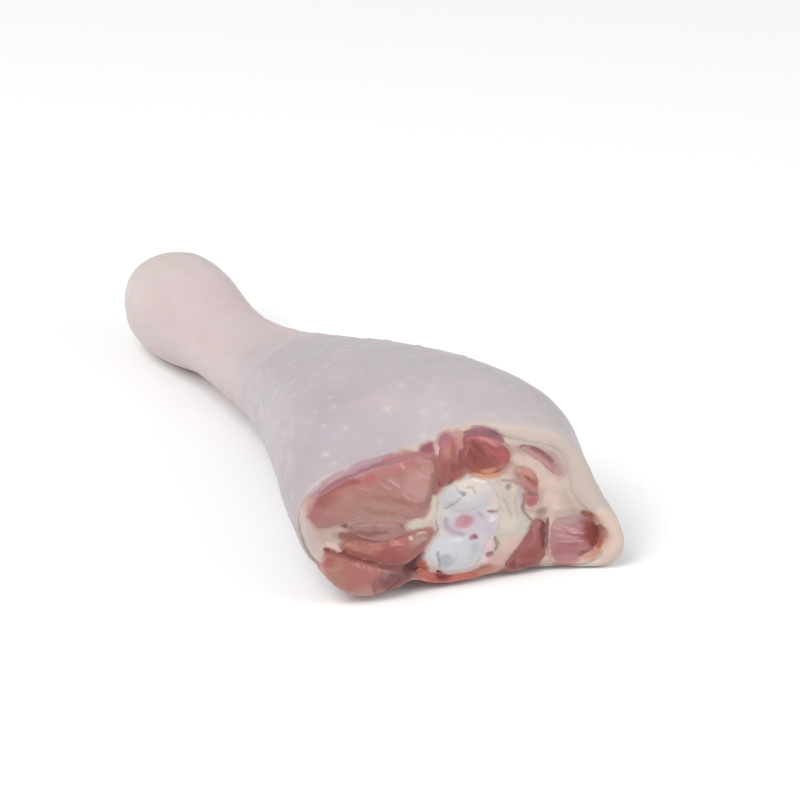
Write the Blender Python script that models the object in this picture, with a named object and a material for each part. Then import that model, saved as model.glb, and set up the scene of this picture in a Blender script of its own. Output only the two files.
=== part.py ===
"""A raw turkey drumstick lying on its side, cut through at the knee.

The leg runs along X: the skin-covered hock is at -X and the cut knee end at +X, with +Z up.
Every shape is drawn once on the cut, as an outline across the leg, and carried back along the leg by
the same rule, so the muscles, the fat and the skin keep their places beside each other all the way.
Lengths in the tables are millimetres, and MM turns them into metres.
"""

import math

import bmesh
import bpy
import numpy as np

MM = 0.001

# Driving dimensions
LEG_LENGTH = 213.0  # from the tip of the hock to the cut
SKIN_THICKNESS = 2.3
FLOOR_SKIN = 2.0  # thickness of the skin where the leg lies flat
GAP = 0.3  # clearance between neighbouring pieces
CUT_SLANT = 0.2  # the cut leans forward by this much for each millimetre towards +Y
CUT_OFFSET = 3.0
CHAMBER_END = -121.0  # the muscles stop here, where the shank begins
BONE_END = -197.0
SHAFT_RADIUS = 5.6
HEAD_RISE = 1.0  # how far the knee end of the bone bulges out of the cut
FAT_SUNK = -1.4  # the fat stands this far behind the cut round the bone
FAT_PAD = (13.5, 22.0)  # the pad of fat beside the knee: (across the leg, height)
FAT_PAD_REACH = (5.0, 12.0)
FAT_PAD_RISE = 2.2

# (along the leg, left edge, right edge, underside, top) of the skin at each station
STATIONS = np.array(
    [
        (-213.0, -5.0, 1.0, 13.0, 21.0),
        (-211.0, -11.0, 8.0, 7.0, 27.0),
        (-205.0, -16.5, 13.5, 1.5, 33.5),
        (-194.0, -19.0, 16.5, -0.6, 37.5),
        (-181.0, -18.5, 16.5, 0.4, 38.0),
        (-168.0, -16.5, 14.5, 3.5, 34.5),
        (-153.0, -15.5, 13.0, 6.5, 32.0),
        (-138.0, -16.2, 14.8, 6.0, 32.8),
        (-122.0, -17.2, 18.2, 5.5, 35.8),
        (-105.0, -20.6, 23.2, 5.2, 41.2),
        (-85.0, -27.0, 29.5, 4.0, 47.5),
        (-60.0, -35.0, 37.0, 1.0, 55.0),
        (-35.0, -43.5, 44.0, -1.0, 60.5),
        (-16.0, -49.0, 46.0, -1.2, 61.5),
        (0.0, -53.5, 44.0, -0.6, 56.0),
        (14.0, -53.5, 44.0, -0.6, 56.0),
    ]
)
TOP_ROUNDNESS = 2.2  # exponents of the section's two halves: 2 is an ellipse, more is squarer
UNDERSIDE_ROUNDNESS = 2.15
EDGE_REACH = 22.0  # the section turns into the skin's edge over this length
ROLL_REACH = 18.0  # and its thick rolled edge thins out over this one

# Outer edge of the skin on the cut: (across the leg, height). The corner at the lower right is a loose fold.
SKIN_EDGE = [
    (-28.0, 1.2), (-22.0, 1.4), (-10.0, 1.0), (5.0, 0.9), (20.0, 1.0), (30.0, 1.3), (35.0, 1.0),
    (38.5, 0.0), (42.5, -0.4), (46.4, 1.6), (48.3, 6.0), (48.2, 11.0), (46.2, 17.0), (42.9, 23.5),
    (39.6, 30.0), (36.9, 37.0), (33.4, 43.6), (28.5, 48.6), (22.0, 51.8), (14.0, 53.6), (6.0, 54.0),
    (-2.0, 54.2), (-8.0, 53.4), (-12.0, 51.0), (-17.0, 49.6), (-24.0, 48.6), (-32.0, 47.3),
    (-40.0, 45.0), (-46.6, 41.6), (-50.9, 37.0), (-52.6, 32.5), (-51.8, 27.5), (-50.3, 22.0),
    (-48.6, 15.5), (-45.0, 8.8), (-40.0, 4.4), (-34.0, 2.0),
]  # fmt: skip

# Thickness of the skin and the fat that is part of it, on the cut: (direction in degrees, millimetres)
EDGE_THICKNESS = np.array(
    [
        (-180.0, 1.6),
        (-75.0, 1.5),
        (-40.0, 2.2),
        (-33.0, 3.0),
        (-27.0, 5.5),
        (-20.0, 5.5),
        (-12.0, 8.0),
        (-5.0, 9.8),
        (4.0, 9.6),
        (9.0, 7.8),
        (14.0, 6.6),
        (20.0, 6.0),
        (28.0, 6.0),
        (36.0, 7.0),
        (44.0, 7.3),
        (52.0, 6.5),
        (62.0, 3.6),
        (72.0, 1.9),
        (85.0, 1.6),
        (180.0, 1.6),
    ]
)

# How far the skin's rim stands before the cut in each direction: (degrees, millimetres)
RIM = np.array(
    [
        (-180.0, -4.0),
        (-160.0, -8.0),
        (-130.0, -9.0),
        (-95.0, -8.0),
        (-60.0, -6.0),
        (-38.0, -1.0),
        (-22.0, 3.5),
        (0.0, 1.5),
        (35.0, 0.5),
        (75.0, -1.5),
        (140.0, -1.5),
        (165.0, -2.5),
        (180.0, -4.0),
    ]
)

# Outlines on the cut: (across the leg, height), round each piece in turn.
GASTROCNEMIUS = [
    (-50.0, 32.8), (-48.3, 37.0), (-44.4, 40.0), (-40.0, 41.9), (-35.0, 43.7), (-27.0, 45.4),
    (-20.0, 46.0), (-16.0, 47.0), (-13.0, 47.6), (-11.2, 45.4), (-10.8, 39.5), (-11.4, 33.0),
    (-12.6, 28.8), (-15.4, 26.2), (-20.0, 26.3), (-25.0, 27.9), (-31.0, 29.1), (-38.0, 29.3),
    (-42.0, 28.2), (-46.4, 27.4), (-49.3, 29.4),
]  # fmt: skip
FLEXOR_STRIP = [
    (-38.2, 26.9), (-34.0, 27.9), (-27.0, 26.8), (-21.0, 25.1), (-18.8, 23.2), (-20.4, 21.4),
    (-24.6, 20.5), (-28.6, 20.9), (-33.0, 23.1), (-36.6, 25.1),
]  # fmt: skip
FLEXOR_LOBE = [
    (-41.2, 21.8), (-38.4, 23.9), (-34.0, 22.0), (-29.0, 19.7), (-24.8, 19.2), (-20.5, 20.0),
    (-17.0, 21.1), (-13.4, 22.3), (-10.8, 22.4), (-10.2, 20.6), (-12.0, 18.0), (-15.0, 15.0),
    (-18.0, 12.2), (-21.0, 10.9), (-24.5, 11.5), (-28.0, 13.3), (-31.0, 15.0), (-34.6, 16.6),
    (-39.2, 19.6),
]  # fmt: skip
FLEXOR_TIP = [
    (-46.0, 19.4), (-43.8, 20.2), (-40.4, 18.2), (-36.6, 16.3), (-32.6, 14.4), (-29.0, 12.4),
    (-25.0, 10.4), (-21.4, 9.6), (-18.8, 8.6), (-19.5, 6.6), (-23.0, 4.2), (-27.6, 2.0),
    (-32.4, 1.9), (-37.4, 4.0), (-41.8, 7.8), (-45.0, 12.4), (-46.4, 16.2),
]  # fmt: skip
SHIN_SMALL = [
    (-9.4, 49.4), (-7.2, 51.2), (-4.2, 51.0), (-3.4, 48.0), (-3.6, 43.6), (-4.4, 40.2), (-6.2, 37.8),
    (-8.0, 35.2), (-9.6, 34.4), (-10.1, 37.0), (-9.7, 42.0),
]  # fmt: skip
SHIN_LARGE = [
    (-2.0, 51.3), (3.0, 51.3), (7.2, 49.8), (10.4, 46.8), (13.0, 43.0), (13.0, 39.8), (10.8, 37.5),
    (7.4, 36.8), (4.0, 37.2), (1.4, 38.4), (-1.2, 39.9), (-2.6, 42.6), (-2.5, 48.0),
]  # fmt: skip
PERONEAL = [
    (14.4, 38.3), (17.5, 37.9), (20.4, 36.0), (22.0, 32.0), (21.9, 28.4), (21.9, 25.4), (20.4, 23.3),
    (18.2, 24.0), (17.4, 26.6), (17.9, 29.6), (16.5, 32.6), (14.4, 35.3),
]  # fmt: skip
CRESCENT = [
    (15.0, 45.3), (19.0, 44.6), (23.0, 42.1), (26.4, 38.1), (28.7, 33.2), (27.2, 33.0), (24.4, 36.4),
    (20.8, 40.2), (17.0, 43.0),
]  # fmt: skip
DEEP_PERONEAL = [
    (22.6, 19.6), (24.3, 18.6), (24.7, 12.0), (24.4, 5.2), (20.0, 3.5), (12.4, 3.4), (11.2, 4.6),
    (14.6, 8.6), (17.6, 12.4), (20.0, 16.0), (21.0, 18.8),
]  # fmt: skip
FLAP_MUSCLE = [
    (26.6, 17.6), (31.0, 18.2), (36.2, 17.4), (40.2, 14.2), (41.6, 9.8), (39.2, 5.6), (34.0, 4.2),
    (28.0, 4.1), (26.4, 9.0),
]  # fmt: skip
UNDERSIDE_STRIP = [
    (-17.0, 8.4), (-15.0, 9.3), (-12.4, 7.0), (-8.0, 5.0), (0.0, 4.8), (7.0, 5.0), (9.6, 4.3),
    (6.0, 3.1), (-2.0, 2.8), (-9.0, 3.1), (-14.0, 5.3),
]  # fmt: skip
KNEE = [
    (-12.9, 12.8), (-11.0, 17.0), (-8.4, 19.8), (-9.2, 23.0), (-10.0, 27.6), (-9.4, 31.6),
    (-6.2, 35.0), (-2.6, 36.6), (1.6, 36.8), (5.5, 35.1), (8.4, 30.0), (9.3, 24.0), (8.6, 18.5),
    (5.2, 14.5), (4.3, 9.6), (1.0, 6.7), (-5.0, 6.3), (-9.8, 8.3),
]  # fmt: skip

# Each muscle: (node, outline, start of its face, how far the face bulges, how soft its edge is, how much it
# swells where it leaves the skin, as a share of its size, colour)
MUSCLES = [
    ("gastrocnemius", GASTROCNEMIUS, -1.0, 2.3, 3.5, 0.0, (0.47, 0.21, 0.19)),
    ("flexor_strip", FLEXOR_STRIP, -2.0, 2.5, 0.5, 0.0, (0.36, 0.15, 0.13)),
    ("flexor_lobe", FLEXOR_LOBE, -2.0, 3.3, 1.2, 0.0, (0.37, 0.12, 0.11)),
    ("flexor_tip", FLEXOR_TIP, -2.5, 4.3, 2.2, 0.22, (0.44, 0.18, 0.16)),
    ("shin_small", SHIN_SMALL, -2.0, 3.0, 1.2, 0.0, (0.35, 0.12, 0.11)),
    ("shin_large", SHIN_LARGE, -2.5, 3.0, 2.5, 0.0, (0.34, 0.09, 0.09)),
    ("peroneal", PERONEAL, -2.5, 2.5, 0.8, 0.0, (0.42, 0.20, 0.17)),
    ("thin_muscle", CRESCENT, -1.5, 1.5, 0.3, 0.0, (0.36, 0.15, 0.15)),
    ("deep_peroneal", DEEP_PERONEAL, -2.0, 2.0, 0.5, 0.0, (0.33, 0.12, 0.11)),
    ("flap_muscle", FLAP_MUSCLE, -1.0, 1.8, 2.0, 0.0, (0.45, 0.20, 0.20)),
    ("underside_strip", UNDERSIDE_STRIP, -2.0, 2.0, 0.3, 0.2, (0.38, 0.10, 0.09)),
]

# The two cartilage condyles on the knee: (across, height), (half width, half height), turn in degrees
CONDYLE_DEPTH = 3.0
CONDYLES = [
    ("condyle_upper", (-0.4, 31.4), (7.8, 4.9), 4.0),
    ("condyle_lower", (-5.2, 12.7), (7.4, 5.6), -12.0),
]

TAPER = ((-92.0, 0.86), (-50.0, 0.97), (-20.0, 1.0), (-8.5, 1.0))  # a muscle's size: (along, share)
SWELLING = (-8.5, -2.0)  # the stretch of the leg where a muscle swells out of the skin
BONE_POINTS = 28
BONE_SECTIONS = (-188.0, -172.0, -145.0, -115.0, -80.0, -34.0, -24.0, -16.0, -8.0, 0.0)
# Directions of the points round the skin and the fat, in degrees, closer together at the fold
DIRECTIONS = np.concatenate(
    [np.arange(-180.0, -45.0, 9.0), np.arange(-45.0, 3.0, 4.0), np.arange(3.0, 180.0, 8.85)]
)

# Rings of the skin, as shares of the way from the hock's tip to the rim and from there down the inside
OUTSIDE_SHARES = (0.003, 0.01, 0.025, 0.05, 0.085, 0.125, 0.17, 0.215, 0.265, 0.32, 0.38, 0.44, 0.5)
OUTSIDE_SHARES += (0.57, 0.64, 0.71, 0.78, 0.85, 0.9, 0.94, 0.97, 0.99)
INSIDE_SHARES = (0.03, 0.08, 0.14, 0.22, 0.35, 0.55, 0.75, 0.92, 0.99)
COLLECTION = "turkey_drumstick"


def ease(value, low, high):
    """0 below low, 1 above high and a smooth step between them."""
    t = np.clip((np.asarray(value, float) - low) / (high - low), 0.0, 1.0)
    return t * t * (3.0 - 2.0 * t)


def smooth_table(table, at):
    """Each column of a table read at these places of its first column, along a curve with no overshoot."""
    places, values = table[:, 0], table[:, 1:]
    rise = np.diff(values, axis=0) / np.diff(places)[:, None]
    slope = np.zeros_like(values)
    both = rise[:-1] * rise[1:]
    slope[1:-1] = np.where(both > 0, 2 * both / np.where(both > 0, rise[:-1] + rise[1:], 1.0), 0.0)
    slope[0], slope[-1] = rise[0], rise[-1]
    at = np.clip(np.asarray(at, float), places[0], places[-1])
    k = np.clip(np.searchsorted(places, at) - 1, 0, len(places) - 2)
    width = (places[k + 1] - places[k])[..., None]
    t = (at - places[k])[..., None] / width
    return (
        (1 + 2 * t) * (1 - t) ** 2 * values[k]
        + t * (1 - t) ** 2 * width * slope[k]
        + t * t * (3 - 2 * t) * values[k + 1]
        - t * t * (1 - t) * width * slope[k + 1]
    )


def centre(along):
    """The middle of the section, (across, height)."""
    left, right, low, high = np.moveaxis(smooth_table(STATIONS, along), -1, 0)
    return (left + right) / 2, (low + high) / 2


def edge_radius(angle):
    """Distance of the skin's edge from the middle of the cut, in each direction."""
    ring = smooth_outline(SKIN_EDGE, 360) - centre(0.0)
    direction = np.degrees(np.arctan2(ring[:, 1], ring[:, 0]))
    order = np.argsort(direction)
    return np.interp(angle, direction[order], np.hypot(ring[:, 0], ring[:, 1])[order], period=360.0)


def body_radius(along, angle):
    """Radius of the section before the leg's weight flattens it on the floor."""
    left, right, low, high = np.moveaxis(smooth_table(STATIONS, along), -1, 0)
    turn = np.radians(angle)
    power = np.where(np.sin(turn) < 0, UNDERSIDE_ROUNDNESS, TOP_ROUNDNESS)
    across = np.abs(np.cos(turn)) / ((right - left) / 2)
    upright = np.abs(np.sin(turn)) / ((high - low) / 2)
    rounded = (across**power + upright**power) ** (-1.0 / power)
    return rounded + ease(along, -EDGE_REACH, 0.0) * (edge_radius(angle) - rounded)


def down_to(floor, along, angle, radius):
    """The radius, cut short where it would go below a level floor."""
    down = -np.sin(np.radians(angle))
    room = (centre(along)[1] - floor) / np.maximum(down, 1e-6)
    return np.where(down > 1e-6, np.minimum(radius, room), radius)


def skin_radius(along, angle):
    """Outer radius of the skin."""
    return down_to(0.0, along, angle, body_radius(along, angle))


def chamber_radius(along, angle):
    """Inner radius of the skin, where the fat begins."""
    angle = (np.asarray(angle, float) + 180.0) % 360.0 - 180.0
    edge = smooth_table(EDGE_THICKNESS, angle)[..., 0]
    thickness = SKIN_THICKNESS + ease(along, -ROLL_REACH, 0.0) * (edge - SKIN_THICKNESS)
    return down_to(FLOOR_SKIN, along, angle, body_radius(along, angle) - thickness)


def place(along, across, height):
    """Points (across, height) of the section at along, in metres. Near the cut the section leans."""
    lean = CUT_SLANT * ease(along, -75.0, 0.0)
    x = along + CUT_OFFSET + lean * across
    return np.stack(np.broadcast_arrays(x, across, height), axis=-1) * MM


def polar_ring(along, radius):
    across, height = centre(along)
    turn = np.radians(DIRECTIONS)
    return place(along, across + radius * np.cos(turn), height + radius * np.sin(turn))


def carry(points, along):
    """Points drawn on the cut, carried back to the section at along, in its (across, height)."""
    across, height = centre(0.0)
    offset = points - (across, height)
    angle = np.degrees(np.arctan2(offset[:, 1], offset[:, 0]))
    share = np.hypot(offset[:, 0], offset[:, 1]) / chamber_radius(0.0, angle)
    radius = share * chamber_radius(along, angle)
    across, height = centre(along)
    turn = np.radians(angle)
    return np.stack([across + radius * np.cos(turn), height + radius * np.sin(turn)], axis=-1)


def smooth_outline(points, count):
    """A closed smooth curve through the points, with count points evenly along it, anticlockwise."""
    points = np.array(points, float)
    before, after, later = np.roll(points, 1, 0), np.roll(points, -1, 0), np.roll(points, -2, 0)
    t = np.linspace(0.0, 1.0, 16, endpoint=False)[None, :, None]
    a, b, c, d = (p[:, None, :] for p in (before, points, after, later))
    curve = 0.5 * (2 * b + (c - a) * t + (2 * a - 5 * b + 4 * c - d) * t**2 + (3 * b - a - 3 * c + d) * t**3)
    curve = curve.reshape(-1, 2)
    step = np.hypot(*(np.roll(curve, -1, 0) - curve).T)
    length = np.concatenate([[0.0], np.cumsum(step)])
    closed = np.vstack([curve, curve[:1]])
    at = np.linspace(0.0, length[-1], count, endpoint=False)
    ring = np.stack([np.interp(at, length, closed[:, k]) for k in (0, 1)], axis=-1)
    area = np.sum(ring[:, 0] * np.roll(ring[:, 1], -1) - np.roll(ring[:, 0], -1) * ring[:, 1])
    return ring if area > 0 else ring[::-1]


def grown(ring, distance):
    """An anticlockwise ring with each side moved outwards by distance."""
    side = np.roll(ring, -1, 0) - ring
    side /= np.hypot(side[:, 0], side[:, 1])[:, None]
    later = np.stack([side[:, 1], -side[:, 0]], axis=-1)
    before = np.roll(later, 1, 0)
    spread = 1.0 + np.sum(later * before, axis=-1, keepdims=True)
    return ring + distance * (later + before) / np.maximum(spread, 0.5)


def loft(name, rings, into):
    """A closed mesh object through rings of equal length. An end is a single point or a flat cap."""
    mesh = bpy.data.meshes.new(name)
    work = bmesh.new()
    rows = [[work.verts.new(point) for point in ring] for ring in rings]
    for row, following in zip(rows, rows[1:]):
        count = max(len(row), len(following))
        for k in range(count):
            n = (k + 1) % count
            if len(row) > 1:
                work.faces.new((row[k], row[n], following[n % len(following)]))
            if len(following) > 1:
                work.faces.new((row[k % len(row)], following[n], following[k]))
    for end in (rows[0][::-1], rows[-1]):
        if len(end) > 1:
            bmesh.ops.triangulate(work, faces=[work.faces.new(end)])
    if work.calc_volume(signed=True) < 0:
        bmesh.ops.reverse_faces(work, faces=work.faces)
    work.to_mesh(mesh)
    work.free()
    mesh.shade_smooth()
    made = bpy.data.objects.new(name, mesh)
    into.objects.link(made)
    return made


def material(name, colour, roughness):
    made = bpy.data.materials.new(name)
    made.use_nodes = True
    shader = made.node_tree.nodes["Principled BSDF"]
    shader.inputs["Base Color"].default_value = (*colour, 1.0)
    shader.inputs["Roughness"].default_value = roughness
    shader.inputs["Metallic"].default_value = 0.0
    made.diffuse_color = (*colour, 1.0)
    return made


def collection(name, hidden=False):
    made = bpy.data.collections.new(name)
    bpy.context.scene.collection.children.link(made)
    made.hide_render = hidden
    return made


def as_helper(thing):
    thing.hide_render = True
    thing.display_type = "WIRE"


def cut_away(piece, cutter, solver="EXACT"):
    as_helper(cutter)
    modifier = piece.modifiers.new(cutter.name, "BOOLEAN")
    modifier.operation = "DIFFERENCE"
    modifier.solver = solver
    modifier.object = cutter


def points_round(outline):
    """How many points an outline gets on the way round: more, the thinner it is for its length."""
    ring = smooth_outline(outline, 90)
    following = np.roll(ring, -1, 0)
    area = 0.5 * np.sum(ring[:, 0] * following[:, 1] - following[:, 0] * ring[:, 1])
    length = np.hypot(*(following - ring).T).sum()
    return int(np.clip(1.1 * length**2 / area, 12, 16))


def softened(ring, inset):
    """A ring with its corners rounded off, moved inwards."""
    ring = 0.5 * ring + 0.25 * (np.roll(ring, 1, 0) + np.roll(ring, -1, 0))
    return grown(ring, -inset)


def muscle_rings(outline, front, bulge, softness, swell, grow):
    """Rings of a muscle from its narrow end beside the shank to its swollen face at the cut."""
    drawn = smooth_outline(outline, points_round(outline))
    middle = drawn.mean(axis=0, keepdims=True)
    narrow_end = ((CHAMBER_END + 4.0 - grow, 0.45), (CHAMBER_END + 9.0 - grow, 0.7))
    rings = []
    for along, size in (*narrow_end, *TAPER, (front, 1.0)):
        size *= 1.0 - swell * (1.0 - ease(along, *SWELLING))
        ring = carry(middle + size * (drawn - middle), along)
        rings.append(place(along, *grown(ring, grow).T))
    for forward, inset in ((0.5, 0.25), (0.85, 0.35), (1.0, 0.4)):
        drawn = softened(drawn, inset * softness)
        rings.append(place(front + bulge * forward + grow, *grown(drawn, grow).T))
    return rings


def rim_place(angle):
    """Where the skin ends along the leg, in each direction."""
    return smooth_table(RIM, angle)[..., 0]


def along_chamber(share, angle):
    """Places inside the skin, from its rim at 0 to the end of the chamber at 1."""
    rim = rim_place(angle)
    return rim + share * (CHAMBER_END - rim)


def skin_rings():
    """One surface: over the outside from the hock's tip, round the rim and back down the inside."""
    rim, tip = rim_place(DIRECTIONS), -LEG_LENGTH
    rings = [place(tip, *np.array(centre(tip))[:, None])]
    for share in OUTSIDE_SHARES:
        along = tip + share * (rim - tip)
        rings.append(polar_ring(along, skin_radius(along, DIRECTIONS)))
    outer, inner = skin_radius(rim, DIRECTIONS), chamber_radius(rim, DIRECTIONS)
    half = (outer - inner) / 2
    for turn in (-80.0, -50.0, -20.0, 15.0, 50.0, 80.0):
        sideways, forward = math.sin(math.radians(turn)), math.cos(math.radians(turn))
        along = rim + np.minimum(half, 3.0) * forward
        rings.append(polar_ring(along, (outer + inner) / 2 - half * sideways))
    for share in INSIDE_SHARES:
        along = along_chamber(share, DIRECTIONS)
        rings.append(polar_ring(along, chamber_radius(along, DIRECTIONS)))
    rings.append(polar_ring(CHAMBER_END - 0.5, 0.7 * chamber_radius(CHAMBER_END, DIRECTIONS)))
    rings.append(place(CHAMBER_END - 0.5, *np.array(centre(CHAMBER_END))[:, None]))
    return rings


def bone_shaft(along):
    """(middle, radius) of the tibia, which keeps its place among the muscles all along the leg."""
    knee = smooth_outline(KNEE, BONE_POINTS).mean(axis=0, keepdims=True)
    radius = SHAFT_RADIUS + 3.0 * ease(-along, 172.0, 190.0) + 2.5 * ease(along, -40.0, -14.0)
    return carry(knee, along)[0], float(radius)


def bone_rings(grow):
    """Rings of the tibia from its end in the hock to its head, which takes the knee's outline at the cut."""
    drawn = smooth_outline(KNEE, BONE_POINTS)
    offset = drawn - drawn.mean(axis=0)
    turn = np.arctan2(offset[:, 1], offset[:, 0])
    end = bone_shaft(BONE_END)[0]
    rings = [place(BONE_END - grow, *end[:, None])]
    for along in (BONE_END, BONE_END + 1.5, *BONE_SECTIONS):
        middle, radius = bone_shaft(along)
        size = 0.7 if along == BONE_END else 1.0
        round_ring = middle + size * radius * np.stack([np.cos(turn), np.sin(turn)], axis=-1)
        head = float(ease(along, -26.0, -8.0))
        ring = grown(round_ring + head * (drawn - round_ring), grow)
        rings.append(place(along, *ring.T))
    middle = drawn.mean(axis=0, keepdims=True)
    for share in (0.35, 0.7):
        swing = share * math.pi / 2
        size = math.cos(swing) ** 0.5
        ring = grown(middle + size * (drawn - middle), grow * size)
        rings.append(place(HEAD_RISE * math.sin(swing), *ring.T))
    rings.append(place(HEAD_RISE + grow, *middle.T))
    return rings


def fat_front(across, height, rim, size):
    """Where the fat ends: just inside the rim, sunk between the muscles, and swollen beside the knee."""
    sunk = FAT_SUNK + size**2 * (rim - 1.5 - FAT_SUNK)
    away = [(at - middle) / reach for at, middle, reach in zip((across, height), FAT_PAD, FAT_PAD_REACH)]
    return sunk + FAT_PAD_RISE * np.exp(-(away[0] ** 2) - away[1] ** 2)


def fat_rings():
    """Rings of the fat that fills the skin round the muscles and the bone, from its face backwards."""
    rim, turn = rim_place(DIRECTIONS), np.radians(DIRECTIONS)
    middle = np.array(centre(0.0))[:, None]
    across, height = centre(rim)
    rings = [place(fat_front(*middle, 0.0, 0.0), *middle)]
    for size in (0.25, 0.5, 0.75, 0.97):
        radius = size * (chamber_radius(rim, DIRECTIONS) - GAP)
        y, z = across + radius * np.cos(turn), height + radius * np.sin(turn)
        rings.append(place(fat_front(y, z, rim, size), y, z))
    for share in INSIDE_SHARES:
        along = along_chamber(share, DIRECTIONS)
        rings.append(polar_ring(along, chamber_radius(along, DIRECTIONS) - GAP))
    far = CHAMBER_END + GAP
    rings.append(polar_ring(far, 0.7 * (chamber_radius(far, DIRECTIONS) - GAP)))
    rings.append(place(far, *np.array(centre(far))[:, None]))
    return rings


def condyle(name, middle, half, turn, into):
    """A smooth ball of cartilage, half of it sunk in the head of the bone."""
    mesh = bpy.data.meshes.new(name)
    work = bmesh.new()
    bmesh.ops.create_uvsphere(work, u_segments=18, v_segments=12, radius=MM)
    work.to_mesh(mesh)
    work.free()
    made = bpy.data.objects.new(name, mesh)
    made.scale = (CONDYLE_DEPTH, *half)
    made.rotation_euler = (math.radians(turn), 0.0, -math.atan(CUT_SLANT))
    made.location = place(0.0, *middle)
    into.objects.link(made)
    as_helper(made)


def stand_on_floor(objects):
    """Moves the meshes so that the origin is at the middle of the box's underside."""
    shown = [thing for thing in objects if not thing.hide_render]
    corners = np.array([vertex.co for thing in shown for vertex in thing.data.vertices])
    low, high = corners.min(axis=0), corners.max(axis=0)
    shift = ((low[0] + high[0]) / 2, (low[1] + high[1]) / 2, low[2])
    for thing in objects:
        thing.location = [here - there for here, there in zip(thing.location, shift)]


def main():
    for old in list(bpy.data.objects):
        bpy.data.objects.remove(old)
    parts, cutters = collection(COLLECTION), collection("cutters", hidden=True)

    skin = loft("skin", skin_rings(), parts)
    skin.data.materials.append(material("skin", (0.60, 0.52, 0.51), 0.35))

    bone = loft("tibia", bone_rings(0.0), parts)
    bone.data.materials.append(material("cartilage", (0.62, 0.62, 0.64), 0.2))
    lumps = collection("condyles", hidden=True)
    for name, middle, half, turn in CONDYLES:
        condyle(name, middle, half, turn, lumps)
    union = bone.modifiers.new("condyles", "BOOLEAN")
    union.operation = "UNION"
    union.operand_type = "COLLECTION"
    union.collection = lumps

    fat = loft("fat", fat_rings(), parts)
    fat.data.materials.append(material("fat", (0.62, 0.48, 0.42), 0.35))
    channel = loft("bone_channel", bone_rings(GAP), cutters)
    cut_away(skin, channel)
    cut_away(fat, channel, "MANIFOLD")

    for name, *shape, colour in MUSCLES:
        muscle = loft(name, muscle_rings(*shape, 0.0), parts)
        muscle.data.materials.append(material(name, colour, 0.3))
        cut_away(fat, loft(name + "_pocket", muscle_rings(*shape, GAP), cutters), "MANIFOLD")

    stand_on_floor([*parts.objects, *cutters.objects, *lumps.objects])


main()
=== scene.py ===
"""Looks of the raw turkey drumstick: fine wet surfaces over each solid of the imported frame.

The skin, the bone and each muscle are replaced by a dense copy of their solid. The fat is replaced by a
closed sheet that covers the cut's face and runs back inside the skin. Muscles and bone are brought to one
smooth map of that face. Then each piece gets its relief (goose bumps, wrinkles, fibres) and its paint,
point by point. All of this is worked out in the cut's own coordinates, in millimetres: across and height
lie in the cut, and along runs down the leg, 0 at the cut and negative towards the hock.
"""

import itertools
import math

import bmesh
import bpy
import numpy as np
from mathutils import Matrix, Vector
from mathutils.bvhtree import BVHTree


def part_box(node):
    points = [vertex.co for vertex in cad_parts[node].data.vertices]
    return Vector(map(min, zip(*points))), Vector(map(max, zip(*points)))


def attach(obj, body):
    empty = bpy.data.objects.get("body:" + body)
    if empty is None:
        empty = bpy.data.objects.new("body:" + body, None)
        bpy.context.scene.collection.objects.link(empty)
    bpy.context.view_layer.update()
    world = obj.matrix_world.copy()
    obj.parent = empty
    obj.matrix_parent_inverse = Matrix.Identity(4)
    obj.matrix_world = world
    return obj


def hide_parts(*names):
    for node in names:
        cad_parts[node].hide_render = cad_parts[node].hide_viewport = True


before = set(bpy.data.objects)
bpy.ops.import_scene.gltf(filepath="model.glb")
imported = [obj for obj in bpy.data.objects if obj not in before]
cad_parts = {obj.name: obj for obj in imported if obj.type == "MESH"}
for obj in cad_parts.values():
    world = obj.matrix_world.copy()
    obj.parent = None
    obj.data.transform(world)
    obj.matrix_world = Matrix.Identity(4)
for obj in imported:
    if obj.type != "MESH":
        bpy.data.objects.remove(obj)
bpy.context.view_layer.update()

MM = 0.001
SKIN_FRONT, SKIN_SIDE = 15.428, 48.463  # how far the skin reaches forward and to +Y of the cut's origin
CUT_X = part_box("skin")[1][0] / MM - SKIN_FRONT  # where the cut's own origin lies in the frame
CUT_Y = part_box("skin")[1][1] / MM - SKIN_SIDE
CUT_SLANT = 0.2  # the cut stands this much further forward for each millimetre across
FRONT = np.array((1.0, -CUT_SLANT, 0.0)) / math.hypot(1.0, CUT_SLANT)  # the way the cut faces
BODY_NAME = "root"  # every piece rides on the part's one body

# ---- Noise

DRAWS = np.random.default_rng(11)
SHUFFLE = DRAWS.permutation(256)
ARROWS = DRAWS.normal(size=(256, 3))
ARROWS /= np.linalg.norm(ARROWS, axis=1)[:, None]
JITTER = DRAWS.uniform(0.12, 0.88, size=(256, 3))


def scramble(cell):
    """A repeatable number from 0 to 255 for each cell of a lattice."""
    return SHUFFLE[(SHUFFLE[(SHUFFLE[cell[:, 0] & 255] + cell[:, 1]) & 255] + cell[:, 2]) & 255]


def noise(points, size, seed=0):
    """Smooth noise from about -1 to 1, with bumps about size across. size may differ by axis."""
    at = points / np.asarray(size, float) + seed * 19.37
    cell = np.floor(at).astype(np.int64)
    part = at - cell
    fade = part**3 * (part * (part * 6 - 15) + 10)
    total = np.zeros(len(at))
    for corner in itertools.product((0, 1), repeat=3):
        slope = np.einsum("ij,ij->i", ARROWS[scramble(cell + corner)], part - corner)
        total += slope * np.prod(np.where(corner, fade, 1 - fade), axis=1)
    return total * 1.7


def rough(points, size, octaves, seed=0):
    """Several layers of noise, each half the size and strength of the last."""
    size = np.asarray(size, float)
    return sum(noise(points, size / 2**k, seed + k) / 2**k for k in range(octaves)) / 1.6


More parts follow.
